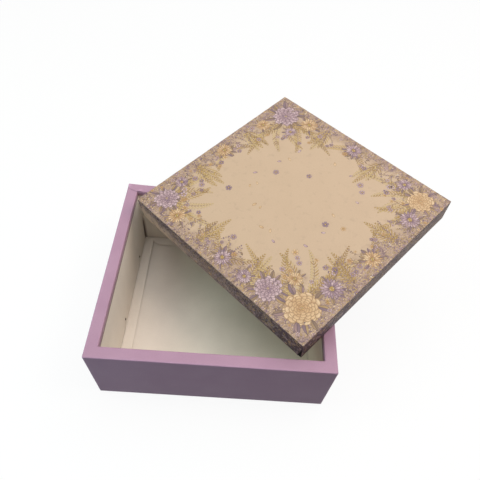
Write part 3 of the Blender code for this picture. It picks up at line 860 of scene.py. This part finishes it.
class LidWrap:
    """The printed sheet unfolded: u and v run over the top from its middle and on down the sides."""

    def __init__(self, look):
        self.look = look
        self.place, size = lid_place()
        room, radius = look.ink_room, look.fold
        self.half = (size.x / 2 - room, size.y / 2 - room)
        self.top = size.z - room
        self.radius = radius
        self.arc = QUARTER * radius
        self.flat = (self.half[0] - radius, self.half[1] - radius)
        # the lower fold ends a third of the ink's room above the lid's lower edge
        self.drop = self.top - room / 3 - 2 * radius
        across = LID_EDGE - room - 2 * radius
        self.legs = [(self.drop, radius), (across, radius), (look.turn_in, 0)]
        under = self.arc + self.drop + self.arc
        # ends of the stretches past the top, each with its count of rows
        self.stops = ((self.arc, 3), (self.arc + self.drop, 14), (under, 3), (under + across, 1),
                      (under + across + self.arc, 3), (under + across + self.arc + look.turn_in, 3))

    def down_side(self, u, v):
        """How far down a side a point of the unfolded sheet lies, and which way the side faces."""
        past = [abs(c) - flat - self.arc for c, flat in zip((u, v), self.flat)]
        return (past[0], 0) if past[0] > past[1] else (past[1], 1)

    def folded(self, u, v, height):
        """Point of the folded sheet, in the lid's frame, at a height over the paper."""
        corner, swing = [], []
        for c, flat in zip((u, v), self.flat):
            corner.append(min(max(c, -flat), flat))
            swing.append(min(max(abs(c) - flat, 0) / self.radius, QUARTER))
        lean = Vector((math.copysign(math.sin(swing[0]), u), math.copysign(math.sin(swing[1]), v),
                       math.cos(swing[0]) * math.cos(swing[1]))).normalized()
        point = Vector((*corner, self.top - self.radius)) + lean * self.radius
        down, facing = self.down_side(u, v)
        if down > 0:
            outward = Vector((lean.x, lean.y, 0)).normalized()
            spot, normal = paper_walk(down, -QUARTER, -1, self.legs)
            point += outward * spot.x + UP * spot.y
            for axis in (0, 1):
                reach = self.half[axis] + spot.x
                point[axis] = min(max(point[axis], -reach), reach)
            along = 1 - facing
            near_end = abs((u, v)[along]) - self.flat[along]
            end = smooth_step(-4 * MM, self.arc, near_end)
            gap = self.wedge(u, v, facing) * min(1, down / self.drop) ** 1.5 * end
            point[along] -= math.copysign(gap, (u, v)[along])
            lean = outward * normal.x + UP * normal.y
        return point + lean * (height - self.ripple(u, v, down, facing))

    def wedge(self, u, v, facing):
        """How wide the joint beside a flap's end opens at the bottom; the front corner's is widest."""
        if facing == 0:
            return 0
        return self.look.wedge * (1 if u > 0 > v else OTHER_JOINTS)

    def ripple(self, u, v, down, facing):
        """How far the hand-laid sheet stands in: crumpled near the ends of its flaps."""
        depth = self.look.ripple * (0.5 + 0.4 * noise.noise(Vector((u, v, 1)) * per(24 * MM)))
        if down > 0:
            along = 1 - facing
            end = self.half[along] - abs((u, v)[along])
            near = bell(max(end, 0), 7 * MM)
            crumple = 0.06 * MM * math.sin(end * per(0.35 * MM) + down * per(3 * MM))
            depth += (crumple * smooth_step(2 * MM, 12 * MM, down) - depth) * near
        return depth

    def past_corner(self, u, v):
        """Whether a point of the unfolded sheet lies in a corner that is cut away."""
        return abs(u) > self.flat[0] + self.arc and abs(v) > self.flat[1] + self.arc

    def fold_cuts(self, axis):
        """Places where a flat shape is cut so that it can bend with the sheet."""
        flat = self.flat[axis]
        places = [flat, flat + self.arc / 2, flat + self.arc]
        return [-place for place in places] + places

    def edge_distance(self, u, v):
        """How far inside the top's edges a point lies; below zero on the sides."""
        return min(self.half[0] - abs(u), self.half[1] - abs(v))


def flower_beds(wrap):
    """The four corners' flowers, then those at the middles of the edges, in millimetres on the sheet."""
    half = [side / MM for side in wrap.half]
    beds = [[(kind, ink, Vector((side_u * (half[0] - in_u), side_v * (half[1] - in_v))), radius)
             for kind, ink, in_u, in_v, radius in flowers] for side_u, side_v, flowers in BEDS]
    inset, radius = EDGE_ASTER
    for turn in range(4):
        way = towards(QUARTER * turn)
        place = Vector((way.x * (half[0] - inset), way.y * (half[1] - inset)))
        beds.append([("aster", "lilac" if turn % 2 else "cream", place, radius)])
    return beds


def near_flowers(beds, u, v):
    """1 under the beds' flowers, and 0 from 10 mm past their petals; u and v are in millimetres."""
    spot = Vector((u, v))
    gap = min((spot - place).length - radius for bed in beds for _, _, place, radius in bed)
    return 1 - smooth_step(-2, 10, gap)


def foliage_cover(wrap, u, v):
    """How thickly the small leaves stand, from 0 on the open middle to 1 along the edges."""
    depth = wrap.edge_distance(u, v)
    share_u, share_v = u / wrap.half[0], v / wrap.half[1]
    sway = noise.noise(Vector((u, v, 0)) * per(36 * MM))
    if depth < 0:
        left = smooth_step(0.1, 1, -share_u) * smooth_step(0, 1, -share_v)
        front = smooth_step(0, 1, share_u) * smooth_step(0, 1, -share_v)
        bare = smooth_step(5 * MM, 20 * MM, -depth + 12 * MM * sway)
        return 0.95 + 0.4 * front - bare * (0.2 * (1 - front) + 0.7 * left)
    corner = smooth_step(0.45, 1.0, abs(share_u)) * smooth_step(0.45, 1.0, abs(share_v))
    front = smooth_step(-0.2, 1.0, (share_u - share_v) / 2)
    reach = (27 + 24 * corner + 25 * front + 18 * sway) * MM
    return 0.95 * (1 - smooth_step(0.2 * reach, reach, depth))


class HAMPER_OT_printed_sheet(bpy.types.Operator):
    """Fold the printed sheet over the lid, down its sides and up inside its edge"""

    bl_idname = "hamper.printed_sheet"
    bl_label = "Printed sheet"

    def execute(self, context):
        look = context.scene.hamper_lid
        wrap = LidWrap(look)
        lines = []
        for axis in (0, 1):
            flat = wrap.flat[axis]
            # the rows stand closer in the last 8 mm before the fold
            half = stations((flat - 8 * MM, 32), (flat, 10),
                            *((flat + end, steps) for end, steps in wrap.stops))
            lines.append([-place for place in half[:0:-1]] + half)
        counts = [len(line) - 1 for line in lines]
        bm = bmesh.new()
        grid(bm, *counts)
        for vert in bm.verts:
            u, v = (lines[i][round((vert.co[i] + 0.5) * counts[i])] for i in (0, 1))
            vert.co = (u, v, 0)
        waste = [face for face in bm.faces if wrap.past_corner(*face.calc_center_median().xy)]
        bmesh.ops.delete(bm, geom=waste, context="FACES")
        sheet = bm.loops.layers.uv.new("sheet")
        foliage = bm.verts.layers.float.new("foliage")
        side = bm.verts.layers.float.new("side")
        for face in bm.faces:
            for loop in face.loops:
                loop[sheet].uv = loop.vert.co.xy
        beds = flower_beds(wrap)
        for vert in bm.verts:
            u, v = vert.co.xy
            vert[foliage] = max(foliage_cover(wrap, u, v), 0.55 * near_flowers(beds, u / MM, v / MM))
            vert[side] = smooth_step(-0.9 * MM, 0, wrap.down_side(u, v)[0])
            vert.co = wrap.place @ wrap.folded(u, v, 0)
        turn_outwards(bm, wrap.place.to_3x3() @ UP)
        finished("printed_sheet", bm, "lid", printed_sheet(look),
                 ["lid_print_sheet"], look.thickness, live=True)
        return {"FINISHED"}


class HAMPER_OT_corner_tabs(bpy.types.Operator):
    """Tuck a tab of printed paper round each corner of the lid, under the ends of the flaps, near-black as
    painted shadow in the open joints
    """

    bl_idname = "hamper.corner_tabs"
    bl_label = "Corner tabs"

    def execute(self, context):
        look = context.scene.hamper_lid
        wrap = LidWrap(look)
        bm = bmesh.new()
        # the tab lies close behind the sheet and ends short of both folds
        under = look.thickness + 0.07 * MM
        low, high = 0.8 * MM, wrap.top - 1.8 * MM
        for side_x, side_y in ((-1, -1), (-1, 1), (1, -1), (1, 1)):
            made = grid(bm, 18, 4)
            for vert in made:
                run = vert.co.x * CORNER_TAB
                x = wrap.half[0] - under - max(-run, 0)
                y = wrap.half[1] - under - max(run, 0)
                vert.co = (side_x * x, side_y * y, low + (vert.co.y + 0.5) * (high - low))
            for face in {face for vert in made for face in vert.link_faces}:
                if face.normal.dot(face.calc_center_median()) < 0:
                    face.normal_flip()
        bm.transform(wrap.place)
        bm.normal_update()
        # the tab is near-black with little sheen, as painted shadow for the depth of the joint, where no
        # sheen reaches the eye
        shade = raised_ink("near_black_painted_shadow", ("#130E12",), "#FFFFFF", "#FFFFFF", "#130E12", 0.05)
        finished("lid_corner_tabs", bm, "lid", shade, (), 0.05 * MM)
        return {"FINISHED"}


# The print's plants, drawn in millimetres on the unfolded sheet and then folded with it

# A batch of flat shapes is closed once it has this many vertices
FULL_BATCH = 400

# How many places the haze of small plants along the edges is tried at
HAZE_TRIES = 3900

# Blossoms and berries end where the closeness to a large flower passes this
BERRIES_END = 0.75

# How far above a side's lower fold the ink ends, and how thick it is
INK_HEM = 0.5 * MM
INK_THICKNESS = 0.02 * MM

# Heights over the paper, in millimetres, so that the upper shapes cover the lower ones
TWIG = 0.03
SMALL_LEAF = 0.04
LEAFLET = 0.045
BROAD_LEAF = 0.052
BERRY = 0.06
BLOSSOM = 0.07
BLOSSOM_EYE = 0.09
EYE_GROUND = 0.095
EYE_DOTS = 0.105

# Turn in radians from one dot of a spiral to the next, close to the golden angle
SPIRAL_TURN = 2.4

# Tints of each layer of ink, its colour at a leaf's base and tip, and its outline, from the lowest layer
INKS = {
    "stems": (("#836A60", "#8F7350", "#7C6462"), "#F0E8E8", "#FFFFFF", "#6E5654"),
    "ferns": (("#CFAF68", "#BC9A55", "#DEC48A", "#AE8D58"), "#C4B49E", "#FFFFFF", "#856844"),
    "leaves": (("#A98D68", "#927861", "#A48783", "#8B7279", "#B8996A", "#9C805F"), "#A79FA0", "#FFFFFF",
               "#5C4846"),
    "sprigs": (("#B89A74", "#A0856C", "#B29590", "#957B80", "#C6A873", "#BCA19E", "#8A705C"), "#C8BCBA",
               "#FFFFFF", "#66504C"),
    "lilac": (("#DABFBE", "#C9ACAE", "#B99C9F", "#A48892"), "#99868F", "#FFFFFF", "#64505A"),
    "cream": (("#E8CBA2", "#DFBE92", "#D5B183", "#C8A172"), "#BC9C7A", "#FFFFFF", "#946E49"),
    "dots": (("#E0BE58", "#75607C", "#9A7A42", "#F2E4D0"), "#FFFFFF", "#FFFFFF", "#7A5F48"),
}


class Printing:
    """Flat shapes of one ink, kept in batches so that the bmesh operators stay quick."""

    def __init__(self, wrap):
        self.wrap, self.batches = wrap, []
        self.open_batch()

    def open_batch(self):
        """Start an empty batch with its attributes."""
        self.bm = bmesh.new()
        self.tint = self.bm.faces.layers.float.new("tint")
        self.reach = self.bm.verts.layers.float.new("reach")
        self.edge = self.bm.verts.layers.float.new("edge")

    def shape(self, u, v, turn, sides, outline, height, tint):
        """Add a flat shape: a fan whose points an outline moves to (x, y, share of its reach)."""
        made = bmesh.ops.create_circle(
            self.bm, cap_ends=True, cap_tris=True, segments=sides, radius=1)["verts"]
        for face in {face for vert in made for face in vert.link_faces}:
            face[self.tint] = tint
        place = Matrix.Translation((u, v, 0)) @ Matrix.Rotation(turn, 4, "Z")
        for vert in made:
            vert[self.edge] = min(1, vert.co.length)
            x, y, vert[self.reach] = outline(vert.co.x, vert.co.y)
            vert.co = (*(place @ Vector((x, y, 0))).xy, height)
        if len(self.bm.verts) > FULL_BATCH:
            self.close_batch()

    def dot(self, u, v, radius, height, tint, sides=6):
        """A round dot."""
        self.shape(u, v, 0, sides, lambda x, y: (x * radius, y * radius, 0.6 + 0.4 * y), height, tint)

    def leaf(self, u, v, turn, size, width, height, tint, bend=0.0, sides=8):
        """A leaf pointed at both ends, from its stalk, its width a share of its length."""
        def outline(x, y):
            run = (x + 1) / 2
            side = math.copysign(abs(y) ** 1.4, y) * width * size / 2
            return run * size, side + bend * size * run * run, 0.3 + 0.6 * run

        self.shape(u, v, turn, sides, outline, height, tint)

    def ribbed_leaf(self, u, v, turn, size, width, height, tint, bend=0.0):
        """A broad leaf in two halves, one lighter than the other, which meet along its rib."""
        for half in (-1, 1):
            def outline(x, y, half=half):
                run = (x + 1) / 2
                side = (0.5 + 0.5 * half * y) * (1 - abs(x) ** 2.4) if half * y > -0.01 else 0
                across = half * side * width * size / 2 + bend * size * run * run
                return run * size, across, 0.3 + 0.6 * run

            self.shape(u, v, turn, 12, outline, height, min(0.99, tint + 0.2 * (half > 0)))

    def petal(self, u, v, turn, start, size, width, height, tint, notch=0.0, point=0.0):
        """A petal that widens to its end, round, notched or pointed, out from its flower's middle."""
        def outline(x, y):
            run = (x + 1) / 2
            swell = (0.4 + 0.6 * smooth_step(0, 0.8, run)) * (1 - run) ** point
            tip = notch * max(0, 1 - abs(y) / 0.45) * smooth_step(0.8, 1, run)
            return start + (run - tip) * size, y * swell * width * size / 2, run

        self.shape(u, v, turn, 12, outline, height, tint)

    def twig(self, points, width, height, tint):
        """A thin stem through points, thinner at its end."""
        steps = len(points) - 1
        for vert in grid(self.bm, steps, 1):
            share = vert.co.x + 0.5
            i = round(share * steps)
            ahead = points[min(i + 1, steps)] - points[max(i - 1, 0)]
            across = Vector((-ahead.y, ahead.x)).normalized()
            half = math.copysign(width * (1 - 0.85 * share) / 2, vert.co.y)
            vert.co = (*(points[i] + across * half), height)
            vert[self.reach] = 0.6
            vert[self.edge] = 0.4
            for face in vert.link_faces:
                face[self.tint] = tint

    def close_batch(self):
        """Trim the batch to the sheet, fold it with the sheet and put it by."""
        bm, wrap = self.bm, self.wrap
        if not bm.verts:
            return
        bmesh.ops.scale(bm, verts=bm.verts, vec=(MM, MM, MM))
        for axis in (0, 1):
            lowest = min(vert.co[axis] for vert in bm.verts)
            highest = max(vert.co[axis] for vert in bm.verts)
            cut_across(bm, axis, [p for p in wrap.fold_cuts(axis) if lowest < p < highest])
        waste = [face for face in bm.faces if self.off_sheet(face.calc_center_median())]
        bmesh.ops.delete(bm, geom=waste, context="FACES")
        for face in bm.faces:
            if face.normal.z < 0:
                face.normal_flip()
        for vert in bm.verts:
            vert.co = wrap.place @ wrap.folded(*vert.co)
        batch = bpy.data.meshes.new("batch")
        bm.to_mesh(batch)
        bm.free()
        self.batches.append(batch)
        self.open_batch()

    def off_sheet(self, point):
        """Whether a flat point lies off the sheet, under the lid's edge, or at a flap's very end."""
        wrap = self.wrap
        down, facing = wrap.down_side(point.x, point.y)
        return down > wrap.drop - INK_HEM or (down > 0 and abs(point[1 - facing]) > wrap.flat[1 - facing])

    def finish(self, name, material):
        """Join the batches and make them a piece."""
        self.close_batch()
        self.bm.free()
        joined = bmesh.new()
        for batch in self.batches:
            joined.from_mesh(batch)
            bpy.data.meshes.remove(batch)
        joined.normal_update()
        finished(name, joined, "lid", material, (), INK_THICKNESS)


def curve(start, turn, run, bend, steps):
    """Points of a stem from a start, its heading changing evenly along its length."""
    points, heading = [Vector(start)], turn
    for _ in range(steps):
        heading += bend / steps
        points.append(points[-1] + towards(heading) * run / steps)
    return points


def headings(points):
    """Each point of a stem after its first, with the stem's heading there and its share of the way."""
    for i in range(1, len(points)):
        ahead = points[i] - points[i - 1]
        yield points[i], math.atan2(ahead.y, ahead.x), i / (len(points) - 1)


def frond(layers, start, turn, run, bend, rng):
    """A fern frond: a curved rib with leaflets 1.5 mm wide that shorten to its tip."""
    tint = rng.random()
    points = curve(start, turn, run, bend, max(6, int(run / 3.4)))
    layers["stems"].twig(points, 0.8, TWIG, 0.4)
    leaf = layers["ferns"].leaf
    for point, heading, share in headings(points):
        size = 1.6 + 5.8 * math.sin(math.pi * min(1, 0.2 + 0.8 * share)) ** 0.8
        for side in (-1, 1):
            leaf(*point, heading + side * (1.0 - 0.35 * share), size, 1.5 / size, LEAFLET,
                 (tint + 0.25 * rng.random()) % 1, -side * 0.15)


def sprig(layers, start, turn, run, bend, tint, rng):
    """A sprig of small leaves or florets along a thin stem."""
    points = curve(start, turn, run, bend, max(3, int(run / 2.3)))
    layers["stems"].twig(points, 0.5, TWIG, 0.1)
    leaf = layers["sprigs"].leaf
    for point, heading, share in headings(points):
        for side in (-1, 1):
            size = rng.uniform(2.0, 3.1) * (1.1 - 0.45 * share)
            leaf(*point, heading + side * rng.uniform(0.5, 1.1), size, 0.6, rng.uniform(0.035, 0.05),
                 (tint + rng.uniform(0, 0.35)) % 1, 0.0, 6)
    leaf(*points[-1], heading, 2.4, 0.6, LEAFLET, tint, 0.0, 6)


def small_blossom(petals, dots, u, v, radius, rng):
    """A blossom of five round petals with a gold eye."""
    turn, tint = rng.uniform(0, math.tau), rng.random()
    for i in range(5):
        petals.petal(u, v, turn + math.tau * i / 5, radius * 0.1, radius * 0.92, 0.95, BLOSSOM,
                     (tint + rng.uniform(0, 0.2)) % 1, 0.12)
    dots.dot(u, v, radius * 0.22, BLOSSOM_EYE, 0.1)


def aster(petals, dots, u, v, radius, rng):
    """A daisy-like flower: two rings of narrow petals round an eye of dots."""
    turn = rng.uniform(0, math.tau)
    # each ring's count of petals, their reach as a share of the radius, and their height
    rings = ((18, 1.0, 0.075), (14, 0.72, 0.085))
    for ring, (count, share, height) in enumerate(rings):
        for i in range(count):
            angle = turn + math.tau * (i + 0.5 * ring) / count + rng.uniform(-0.05, 0.05)
            size = radius * (share * rng.uniform(0.9, 1.05) - 0.14)
            petals.petal(u, v, angle, radius * 0.14, size, 0.28 / share, height, rng.random())
    dots.dot(u, v, radius * 0.24, EYE_GROUND, 0.5, 14)
    eye(dots, u, v, radius * 0.2, 16)


def eye(dots, u, v, radius, count):
    """The dots of a flower's eye, set in a spiral."""
    for i in range(count):
        angle, out = SPIRAL_TURN * i, radius * math.sqrt((i + 0.5) / count)
        tint = 0.8 if i % 4 == 3 else 0.1
        dots.dot(u + out * math.cos(angle), v + out * math.sin(angle), radius * 0.2, EYE_DOTS, tint)


def rosette(petals, dots, u, v, radius, rng, point):
    """A full flower: rings of overlapping petals, each ring smaller and higher, round or pointed."""
    turn = rng.uniform(0, math.tau)
    # each ring's count of petals, then their reach and length as shares of the flower's radius
    rings = ((15, 1.0, 0.44), (14, 0.85, 0.42), (13, 0.7, 0.38), (11, 0.55, 0.34), (9, 0.41, 0.28),
             (7, 0.28, 0.2), (5, 0.16, 0.12))
    for ring, (count, share, length_share) in enumerate(rings):
        for i in range(count):
            # each ring is turned from the one under it, and every second petal lies a little higher
            angle = turn + 0.39 * ring + math.tau * i / count + rng.uniform(-0.1, 0.1)
            size = radius * length_share * rng.uniform(0.85, 1.05)
            wide = math.tau * radius * share / count * rng.uniform(1.25, 1.6) / size
            start = radius * share * rng.uniform(0.94, 1.02) - size
            height = 0.05 + 0.006 * ring + 0.003 * (i % 2)
            tint = min(0.99, 0.1 * ring + rng.uniform(0, 0.4))
            petals.petal(u, v, angle, start, size, wide, height, tint, 0.12 - 0.2 * point, point)
    eye(dots, u, v, radius * 0.1, 9)


class HAMPER_OT_printed_plants(bpy.types.Operator):
    """Print the garland on the lid: fronds, leaves, berries and three kinds of flower"""

    bl_idname = "hamper.printed_plants"
    bl_label = "Printed plants"

    def execute(self, context):
        look = context.scene.hamper_lid
        wrap = LidWrap(look)
        rng = random.Random(look.seed)
        self.beds = flower_beds(wrap)
        self.layers = {name: Printing(wrap) for name in INKS}
        self.haze(wrap, rng)
        for bed in self.beds[:4]:
            self.corner(bed, rng)
        for bed in self.beds[4:]:
            self.edge_middle(bed, rng)
        self.open_ground(wrap, rng)
        for name, ink in INKS.items():
            self.layers[name].finish("printed_" + name, raised_ink("raised_ink_" + name, *ink))
        return {"FINISHED"}

    def flowers(self, bed, rng):
        """The flowers of one bed, the largest on top, and the leaves that stand out from under them."""
        layers = self.layers
        for kind, _, place, radius in bed:
            count = 9 if kind == "rosette" else 6
            for i in range(count):
                turn = math.tau * i / count + rng.uniform(-0.3, 0.3)
                root = place + towards(turn) * 0.7 * radius
                layers["leaves"].ribbed_leaf(*root, turn + rng.uniform(-0.3, 0.3),
                                             radius * rng.uniform(0.62, 0.9), 0.42, BROAD_LEAF,
                                             rng.random() * 0.8, rng.uniform(-0.2, 0.2))
        for kind, ink, place, radius in reversed(bed):
            if kind == "aster":
                aster(layers[ink], layers["dots"], *place, radius, rng)
            else:
                point = 0.45 if ink == "lilac" else 0.2
                rosette(layers[ink], layers["dots"], *place, radius, rng, point)

    def corner(self, bed, rng):
        """One corner's bed, with ferns along both edges and inwards, and small blossoms."""
        middle, radius = bed[0][2:]
        side_u, side_v = (math.copysign(1, c) for c in middle)
        inwards = math.atan2(-side_v, -side_u)
        along_u, along_v = math.atan2(0, -side_u), math.atan2(-side_v, 0)
        hand = side_u * side_v
        # each fern's heading, its length beside a flower of the usual radius, and its bend
        usual = 19
        ferns = ((along_u, 74, 0.35 * hand), (along_v, 70, -0.35 * hand), (inwards, 50, 0.7),
                 (inwards + 0.5, 42, 0.9), (inwards - 0.5, 44, -0.8),
                 (along_u + 0.28 * hand, 54, 0.8 * hand), (along_v - 0.28 * hand, 52, -0.8 * hand))
        for turn, run, bend in ferns:
            start = middle + towards(turn) * 0.7 * radius
            frond(self.layers, start, turn, run * radius / usual, bend, rng)
        for _ in range(22):
            turn, out = inwards + rng.uniform(-1.4, 1.4), rng.uniform(1.2, 3.0) * radius
            self.blossom(middle + towards(turn) * out, rng.uniform(2.4, 4.2), rng)
        self.flowers(bed, rng)

    def edge_middle(self, bed, rng):
        """The daisy at the middle of an edge, with a fern and broad leaves to each side."""
        layers = self.layers
        place = bed[0][2]
        out = place.normalized()
        across = Vector((-out.y, out.x))
        for side in (-1, 1):
            way = across * side - out * 0.35
            heading = math.atan2(way.y, way.x)
            frond(layers, place, heading, 34, 0.5 * side, rng)
            for i in range(3):
                angle = heading + side * (0.2 + 0.45 * i)
                root = place + towards(angle) * 6
                layers["leaves"].ribbed_leaf(*root, angle, rng.uniform(8, 11), 0.4,
                                             BROAD_LEAF + 0.001, rng.random() * 0.8, 0.1 * side)
        for _ in range(8):
            self.blossom(place + across * rng.uniform(-30, 30) - out * rng.uniform(2, 18),
                         rng.uniform(2.2, 3.6), rng)
        self.flowers(bed, rng)

    def open_ground(self, wrap, rng):
        """Fern sprays that lean in between the beds, and loose petals over the open ground."""
        layers = self.layers
        half = [side / MM for side in wrap.half]
        edge_gap = 9
        for turn in range(4):
            out = towards(QUARTER * turn)
            across = Vector((-out.y, out.x))
            for side in (-1, 1):
                root = out * (half[turn % 2] - edge_gap) + across * side * rng.uniform(36, 46)
                for lean in (-0.45, 0.0, 0.4):
                    way = across * (lean - 0.12 * side) - out
                    heading = math.atan2(way.y, way.x)
                    run = rng.uniform(34, 50) * (1 - 0.3 * abs(lean))
                    frond(layers, root, heading, run, 0.9 * lean, rng)
                    run = rng.uniform(20, 34)
                    sprig(layers, root, heading + 0.22, run, -0.6 * lean, rng.random(), rng)
        for i in range(26):
            out = rng.uniform(38, 86)
            u, v = out * math.cos(SPIRAL_TURN * i), out * math.sin(SPIRAL_TURN * i)
            if i % 3:
                layer = layers[rng.choice(("lilac", "cream"))]
                layer.leaf(u, v, rng.uniform(0, math.tau), rng.uniform(4.5, 6.5), 0.55, SMALL_LEAF,
                           rng.uniform(0, 0.5), rng.uniform(-0.3, 0.3))
            else:
                self.blossom((u, v), rng.uniform(2.8, 4.6), rng)

    def blossom(self, place, radius, rng):
        """A small blossom, where no large flower lies."""
        if near_flowers(self.beds, *place) < BERRIES_END:
            small_blossom(self.layers[rng.choice(("lilac", "lilac", "cream"))], self.layers["dots"],
                          *place, radius, rng)

    def haze(self, wrap, rng):
        """Sprigs, small leaves, blossoms and berries all along the edges and down the sides."""
        layers, drop = self.layers, wrap.drop / MM
        for _ in range(HAZE_TRIES):
            u, v = (rng.uniform(-1, 1) * (half / MM + drop) for half in wrap.half)
            depth = wrap.edge_distance(u * MM, v * MM) / MM
            cover = foliage_cover(wrap, u * MM, v * MM)
            near = near_flowers(self.beds, u, v)
            if wrap.past_corner(u * MM, v * MM) or rng.random() > cover or near == 1:
                continue
            # near an edge the sprigs grow straight in from it, and further in towards the middle
            inwards = math.atan2(-v, -u)
            if depth < 30:
                beside_u = abs(u) / wrap.half[0] > abs(v) / wrap.half[1]
                inwards = math.atan2(0, -u) if beside_u else math.atan2(-v, 0)
            zone = 0.5 + 0.5 * noise.noise(Vector((u, v, 5)) / 30)
            # of the plants 36 % are sprigs, 36 % leaves, 12 % blossoms and the rest berries
            pick = rng.random()
            if pick < 0.36:
                sprig(layers, (u, v), inwards + rng.uniform(-0.9, 0.9), rng.uniform(8, 17),
                      rng.uniform(-0.6, 0.6), zone, rng)
            elif pick < 0.72:
                layers["leaves"].leaf(u, v, rng.uniform(0, math.tau), rng.uniform(2.6, 5.2), 0.5,
                                      SMALL_LEAF, (zone + rng.uniform(0, 0.4)) % 1,
                                      rng.uniform(-0.2, 0.2))
            elif pick < 0.84:
                self.blossom((u, v), rng.uniform(1.5, 2.6), rng)
            elif near < BERRIES_END:
                for _ in range(rng.randint(2, 5)):
                    layers["dots"].dot(u + rng.gauss(0, 1.8), v + rng.gauss(0, 1.8),
                                       rng.uniform(0.45, 0.8), BERRY, rng.random())


# The stage

# What the lamps are aimed at: the middle of the box, a little up from the floor
LAMPS_AIM = Vector((0, 0, 0.05))


class HAMPER_OT_stage(bpy.types.Operator):
    """Set the floor, the soft studio light and the camera"""

    bl_idname = "hamper.stage"
    bl_label = "Stage"

    def execute(self, context):
        look = context.scene.hamper_stage
        self.set_floor(context.scene, look)
        self.set_world(context.scene, look)
        self.set_lamps(context.scene, look)
        self.set_camera(context.scene, look)
        context.scene.view_settings.view_transform = "Standard"
        return {"FINISHED"}

    def set_floor(self, scene, look):
        """A wide sheet of studio paper under the box."""
        bm = bmesh.new()
        bmesh.ops.create_grid(bm, x_segments=1, y_segments=1, size=look.floor_half)
        mesh = bpy.data.meshes.new("floor")
        bm.to_mesh(mesh)
        bm.free()
        mesh.materials.append(studio_paper(look))
        floor = bpy.data.objects.new("floor", mesh)
        scene.collection.objects.link(floor)

    def set_world(self, scene, look):
        """Light from all round: a little cool, but full white where it is seen."""
        scene.world = bpy.data.worlds.new("studio")
        scene.world.use_nodes = True
        tree = scene.world.node_tree
        add = partial(add_node, tree)
        seen = seen_share(add)
        sky = add("Mix", (seen, linear("#DDEBF8"), linear("#FFFFFF")), data_type="RGBA")
        strength = add("MapRange", (seen, 0.0, 1.0, look.fill, 1.0))
        set_inputs(tree.nodes["Background"], {"Color": sky, "Strength": strength})

    def set_lamps(self, scene, look):
        """Four soft round lamps: each one's name, place, width, power and colour."""
        lamps = (("ceiling", (0.4, 0.36, 1.6), 2.7, look.ceiling_power, "#FFFFFF"),
                 ("right", (0.85, -0.1, 1.25), 0.5, look.right_power, "#FFE8D2"),
                 ("left", (-1.1, 0.0, 1.2), 0.8, look.left_power, "#DAEEE2"),
                 ("cool", (-0.5, -0.55, 0.3), 0.3, look.cool_power, "#BFE3FF"))
        for name, place, width, watts, tint in lamps:
            light = bpy.data.lights.new(name, "AREA")
            light.shape = "DISK"
            light.size = width
            light.energy = watts
            light.color = linear(tint)[:3]
            lamp = bpy.data.objects.new(name, light)
            lamp.location = place
            lamp.rotation_euler = (LAMPS_AIM - Vector(place)).to_track_quat("-Z", "Y").to_euler()
            scene.collection.objects.link(lamp)

    def set_camera(self, scene, look):
        """The camera, at the photograph's viewing angle."""
        view = bpy.data.cameras.new("camera")
        view.sensor_width = 36
        view.lens = look.lens
        view.shift_x, view.shift_y = look.shift
        view.clip_start = 0.01
        camera = bpy.data.objects.new("camera", view)
        camera.location = look.camera_place
        camera.rotation_euler = look.camera_turn
        scene.collection.objects.link(camera)
        scene.camera = camera


# The add-on's operators in the order in which they are run, and its settings by their names in the scene
STEPS = (HAMPER_OT_stage, HAMPER_OT_cover_paper, HAMPER_OT_paper_lap, HAMPER_OT_wall_linings,
         HAMPER_OT_lining_pins, HAMPER_OT_printed_sheet, HAMPER_OT_corner_tabs,
         HAMPER_OT_printed_plants, HAMPER_OT_hidden_pieces)
SETTINGS = {"hamper_cover": CoverPaperSettings, "hamper_lining": LiningSettings,
            "hamper_lid": LidPaperSettings, "hamper_stage": StageSettings}


class HAMPER_PT_panel(bpy.types.Panel):
    """The steps of the making, and the settings of each group"""

    bl_label = "Hamper box"
    bl_idname = "HAMPER_PT_panel"
    bl_space_type = "VIEW_3D"
    bl_region_type = "UI"
    bl_category = "Hamper box"

    def draw(self, context):
        for step in STEPS:
            self.layout.operator(step.bl_idname)
        for name, group in SETTINGS.items():
            column = self.layout.box().column()
            settings = getattr(context.scene, name)
            for key in group.__annotations__:
                column.prop(settings, key)


def register():
    """Register the classes, and give the scene their settings."""
    for group in (*SETTINGS.values(), *STEPS, HAMPER_PT_panel):
        bpy.utils.register_class(group)
    for name, group in SETTINGS.items():
        setattr(bpy.types.Scene, name, PointerProperty(type=group))


def unregister():
    """Take away the settings and the classes again."""
    for name in SETTINGS:
        delattr(bpy.types.Scene, name)
    for group in (HAMPER_PT_panel, *reversed(STEPS), *SETTINGS.values()):
        bpy.utils.unregister_class(group)


def main():
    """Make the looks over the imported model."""
    register()
    bpy.ops.hamper.stage()
    bpy.ops.hamper.cover_paper()
    bpy.ops.hamper.paper_lap()
    bpy.ops.hamper.wall_linings()
    bpy.ops.hamper.lining_pins()
    bpy.ops.hamper.printed_sheet()
    bpy.ops.hamper.corner_tabs()
    bpy.ops.hamper.printed_plants()
    bpy.ops.hamper.hidden_pieces()


if __name__ == "__main__":
    main()
